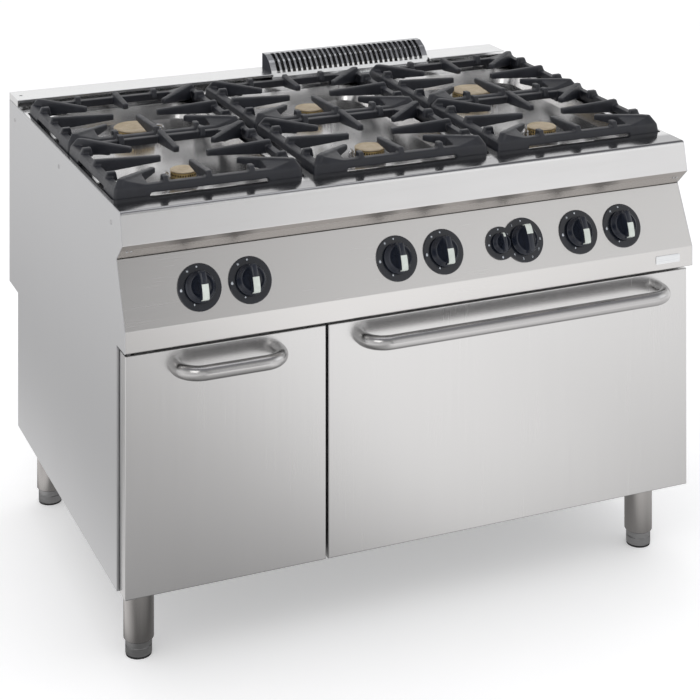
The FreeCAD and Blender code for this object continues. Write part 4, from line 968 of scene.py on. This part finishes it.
for i in range(1, 7):
    F = axis_frame("burner_tap_%d_turn" % i)
    rr = 0.0362
    items = [flat("m", dot(*polar(92, rr), 0.0017), F), flat("m", star(*polar(124, rr), 0.0030), F), flat("m", flame(*polar(182, rr), 0.0032), F), flat("m", flame(*polar(244, 0.0322), 0.0021), F)]
    ob = join("bezel_marks_%d" % i, items)
    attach(ob, "root")
F = axis_frame("thermostat_knob_turn")
items = [flat("m", dot(*polar(90, 0.0362), 0.0015), F)]
numbers = []
for k_ in range(8):
    ang = 90 + 35 + k_ * 33.0
    cu = bpy.data.curves.new("dialnum", "FONT")
    cu.body = str(k_ + 1)
    cu.size = 0.0070
    cu.align_x = "CENTER"
    cu.align_y = "CENTER"
    cu.extrude = 0.00006
    cu.resolution_u = 2
    t = bpy.data.objects.new("dialnum", cu)
    SC.collection.objects.link(t)
    me = bpy.data.meshes.new_from_object(t)
    bpy.data.objects.remove(t)
    me.materials.clear()
    o2 = link("dn", me, (M["mark"],))
    x, y = polar(ang, 0.0358)
    place(o2, F @ Matrix.Translation((x, y, BZ + 0.00009)))
    items.append(o2)
ob = join("thermostat_dial_marks", items)
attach(ob, "root")
F = axis_frame("selector_knob_turn")
items = [flat("m", dot(*polar(92, 0.0262), 0.0016), F), flat("m", star(*polar(140, 0.0262), 0.0022), F), flat("m", dot(*polar(182, 0.0262), 0.0018), F), flat("m", flame(*polar(268, 0.0262), 0.0026), F)]
ob = join("selector_dial_marks", items)
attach(ob, "root")

# ================================================================== handles
for node, body in (("cupboard_handle", "cupboard_door"), ("oven_door_handle", "oven_door")):
    lo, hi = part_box(node)
    r = 0.0135
    z = (lo.z + hi.z) / 2
    xa, xb = lo.x + r, hi.x - r
    y0, yh = hi.y, lo.y + r
    path = bend_path([(xa, y0, z), (xa, yh, z), (xb, yh, z), (xb, y0, z)], 0.042, 20, 0.012)
    ob = sweep(node + "_tube", path, r, 48, (M["handle"],))
    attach(ob, body)
    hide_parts(node)

# ========================================================= small CAD finish
for nme in ("burner_bezels", "oven_control_bezel", "badge_plate"):
    m = NODES[nme].modifiers.new("edge", "BEVEL")
    m.width = 0.0006
    m.segments = 3
    m.limit_method = "ANGLE"
    m.angle_limit = math.radians(35)
    m.harden_normals = False

# ============================================================ floor and light
fl = bpy.data.meshes.new("floor")
bm = bmesh.new()
S_ = 14.0
vs = [bm.verts.new((x, y, 0)) for x, y in ((-S_, -S_), (S_, -S_), (S_, S_), (-S_, S_))]
bm.faces.new(vs)
bm.to_mesh(fl)
bm.free()
k = Mat("pale_floor")
k.set(Roughness=0.75, Specular_IOR_Level=0.2)
nf = k.noise(k.vec((1.5, 1.5, 1.5)), 1.0, 3.0, 0.5)
k.l(k.mix(k.rng(nf, 0.3, 0.7, 0, 1), (0.88, 0.88, 0.885), (0.90, 0.90, 0.90)), k.b.inputs["Base Color"])
k.b.inputs["Emission Color"].default_value = (1, 1, 1, 1)
k.b.inputs["Emission Strength"].default_value = 0.30
# painted reflection: glossy rays see the floor as a glow with a painted shadow close to the object, darker also to
# the left
fsep = k.n("ShaderNodeSeparateXYZ")
k.l(k.geo.outputs["Position"], fsep.inputs[0])
fx, fy = fsep.outputs["X"], fsep.outputs["Y"]
ox = k.math("MAXIMUM", k.math("SUBTRACT", k.math("ABSOLUTE", fx), 0.60), 0.0)
oy = k.math("MAXIMUM", k.math("SUBTRACT", k.math("ABSOLUTE", fy), 0.40), 0.0)
dist = k.math("SQRT", k.math("ADD", k.math("MULTIPLY", ox, ox), k.math("MULTIPLY", oy, oy)))
FR = k.curve(dist, [(0, 0.26), (0.10, 0.42), (0.28, 0.60), (0.65, 0.78), (0.85, 0.84), (1.05, 0.92), (1.45, 1.04), (1.75, 1.16), (2.4, 1.18)])
FL = k.curve(dist, [(0, 0.26), (0.10, 0.50), (0.28, 0.84), (0.65, 1.06), (1.05, 1.09), (1.45, 1.10), (1.75, 1.14), (2.4, 1.16)])
wr = k.rng(fx, 0.25, 0.90, 0, 1)
FRONT = k.math("ADD", k.math("MULTIPLY", FR, wr), k.math("MULTIPLY", FL, k.math("SUBTRACT", 1.0, wr)))
ACROSS = k.curve(fx, [(-2.2, 0.98), (-1.5, 0.90), (-0.9, 0.58), (-0.35, 0.54), (-0.10, 0.68), (0.08, 0.92), (0.28, 1.16), (0.60, 1.27), (1.0, 1.20), (1.4, 1.08), (2.0, 0.98)])
inback = k.rng(fy, -0.40, -0.20, 0, 1)
ACROSS = k.math("ADD", k.math("MULTIPLY", ACROSS, k.math("SUBTRACT", 1.0, inback)), inback)
GEN = k.math("MULTIPLY", FRONT, ACROSS)
LEFT = k.curve(ox, [(0, 0.60), (0.08, 0.95), (0.18, 0.82), (0.32, 0.40), (0.42, 0.42), (0.60, 0.80), (1.2, 0.90)])
lmask = k.math("MULTIPLY", k.rng(fx, -0.58, -0.64, 0, 1), k.rng(fy, -0.45, -0.25, 0, 1))
floor_reflection_glow = k.math("ADD", k.math("MULTIPLY", LEFT, lmask), k.math("MULTIPLY", GEN, k.math("SUBTRACT", 1.0, lmask)))
fem = k.n("ShaderNodeEmission")
fem.inputs["Color"].default_value = (1.0, 0.99, 0.985, 1)
k.l(floor_reflection_glow, fem.inputs["Strength"])
flp = k.n("ShaderNodeLightPath")
fmx = k.n("ShaderNodeMixShader")
k.l(flp.outputs["Is Glossy Ray"], fmx.inputs[0])
k.l(k.b.outputs[0], fmx.inputs[1])
k.l(fem.outputs[0], fmx.inputs[2])
k.l(fmx.outputs[0], k.out.inputs[0])
floor = link("floor", fl, (k.m,))
floor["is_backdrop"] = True

w = bpy.data.worlds.new("studio")
SC.world = w
w.use_nodes = True
w.node_tree.nodes.clear()


class World(Mat):
    def __init__(self, tree):
        self.t = tree


q = World(w.node_tree)
tc = q.n("ShaderNodeTexCoord")
sep = q.n("ShaderNodeSeparateXYZ")
q.l(tc.outputs["Generated"], sep.inputs[0])
dx, dy, dz = sep.outputs
# by height: bright all round the horizon, dark ceiling
hgt = q.ramp(q.rng(dz, -0.1, 1.0, 0, 1), [(0.0, (0.80, 0.80, 0.80)), (0.09, (0.90, 0.90, 0.90)), (0.24, (0.88, 0.88, 0.88)), (0.45, (0.84, 0.835, 0.83)), (0.62, (0.56, 0.555, 0.55)), (0.80, (0.26, 0.26, 0.27)), (1.0, (0.22, 0.22, 0.24))])
# by direction: the room in front falls off to the left
hx = q.math("DIVIDE", dx, q.math("MAXIMUM", q.math("SQRT", q.math("ADD", q.math("MULTIPLY", dx, dx), q.math("MULTIPLY", dy, dy))), 0.001))
azi = q.curve(hx, [(0, 0.80), (0.15, 0.80), (0.20, 0.56), (0.235, 0.20), (0.262, 0.05), (0.285, 0.05), (0.31, 0.38), (0.33, 0.82), (0.36, 1.04), (0.40, 1.08), (0.44, 1.12), (0.483, 1.26), (0.54, 1.04), (0.8, 0.9), (1.0, 0.9)])
front = q.rng(dy, -0.15, -0.45, 0, 1)
low = q.rng(dz, 0.85, 0.55, 0, 1)
f = q.math("MULTIPLY", front, low)
azf = q.math("ADD", q.math("MULTIPLY", azi, f), q.math("SUBTRACT", 1.0, f))
seen = q.mix(1.0, hgt, azf, "MULTIPLY")
bg_g, bg_d, bg_c = (q.n("ShaderNodeBackground") for _ in range(3))
q.l(seen, bg_g.inputs[0])
bg_g.inputs[1].default_value = 1.22
bg_d.inputs[0].default_value = (0.80, 0.80, 0.81, 1)
bg_d.inputs[1].default_value = 1.0
bg_c.inputs[0].default_value = (0.975, 0.975, 0.975, 1)
lp = q.n("ShaderNodeLightPath")
m1, m2 = q.n("ShaderNodeMixShader"), q.n("ShaderNodeMixShader")
out = q.n("ShaderNodeOutputWorld")
q.l(lp.outputs["Is Glossy Ray"], m1.inputs[0])
q.l(bg_d.outputs[0], m1.inputs[1])
q.l(bg_g.outputs[0], m1.inputs[2])
q.l(lp.outputs["Is Camera Ray"], m2.inputs[0])
q.l(m1.outputs[0], m2.inputs[1])
q.l(bg_c.outputs[0], m2.inputs[2])
q.l(m2.outputs[0], out.inputs[0])


def area(name, loc, target, size, power, color=(1, 1, 1), sy=None):
    L = bpy.data.lights.new(name, "AREA")
    L.shape = "RECTANGLE"
    L.size = size
    L.size_y = sy or size
    L.energy = power
    L.color = color
    ob = bpy.data.objects.new(name, L)
    SC.collection.objects.link(ob)
    ob.location = loc
    ob.rotation_euler = (Vector(target) - Vector(loc)).to_track_quat("-Z", "Y").to_euler()
    return ob


area("key", (-2.2, -2.6, 3.4), (0, 0, 0.6), 1.8, 20, (1.0, 0.985, 0.96))
area("fill", (3.4, -1.8, 2.4), (0, 0, 0.5), 2.2, 8, (0.95, 0.97, 1.0))
area("top", (0.2, 0.6, 3.6), (0, 0, 0.8), 2.4, 16)

# ================================================================== camera
cam_d = bpy.data.cameras.new("cam")
cam = bpy.data.objects.new("cam", cam_d)
SC.collection.objects.link(cam)
SC.camera = cam
cam_d.sensor_width = 36.0
cam_d.lens = 98.9
cam.location = (-1.586, -3.760, 1.956)
cam.rotation_euler = (math.radians(90), 0, math.radians(-22.91))
cam_d.clip_end = 100
# the level lens is shifted down, as a view camera's is, only from its own place;
# other viewpoints look straight at the object
HOME = cam.location.copy()
for prop, val in (("shift_x", 0.0119), ("shift_y", -1.0684)):
    d = cam_d.driver_add(prop).driver
    d.type = "SCRIPTED"
    v = d.variables.new()
    v.name = "x"
    v.type = "TRANSFORMS"
    v.targets[0].id = cam
    v.targets[0].transform_type = "LOC_X"
    v.targets[0].transform_space = "WORLD_SPACE"
    d.expression = "%.5f if abs(x + 1.586) < 0.003 else 0" % val

SC.view_settings.view_transform = "Standard"
SC.view_settings.look = "None"
SC.view_settings.exposure = 0.0

lo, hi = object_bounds()
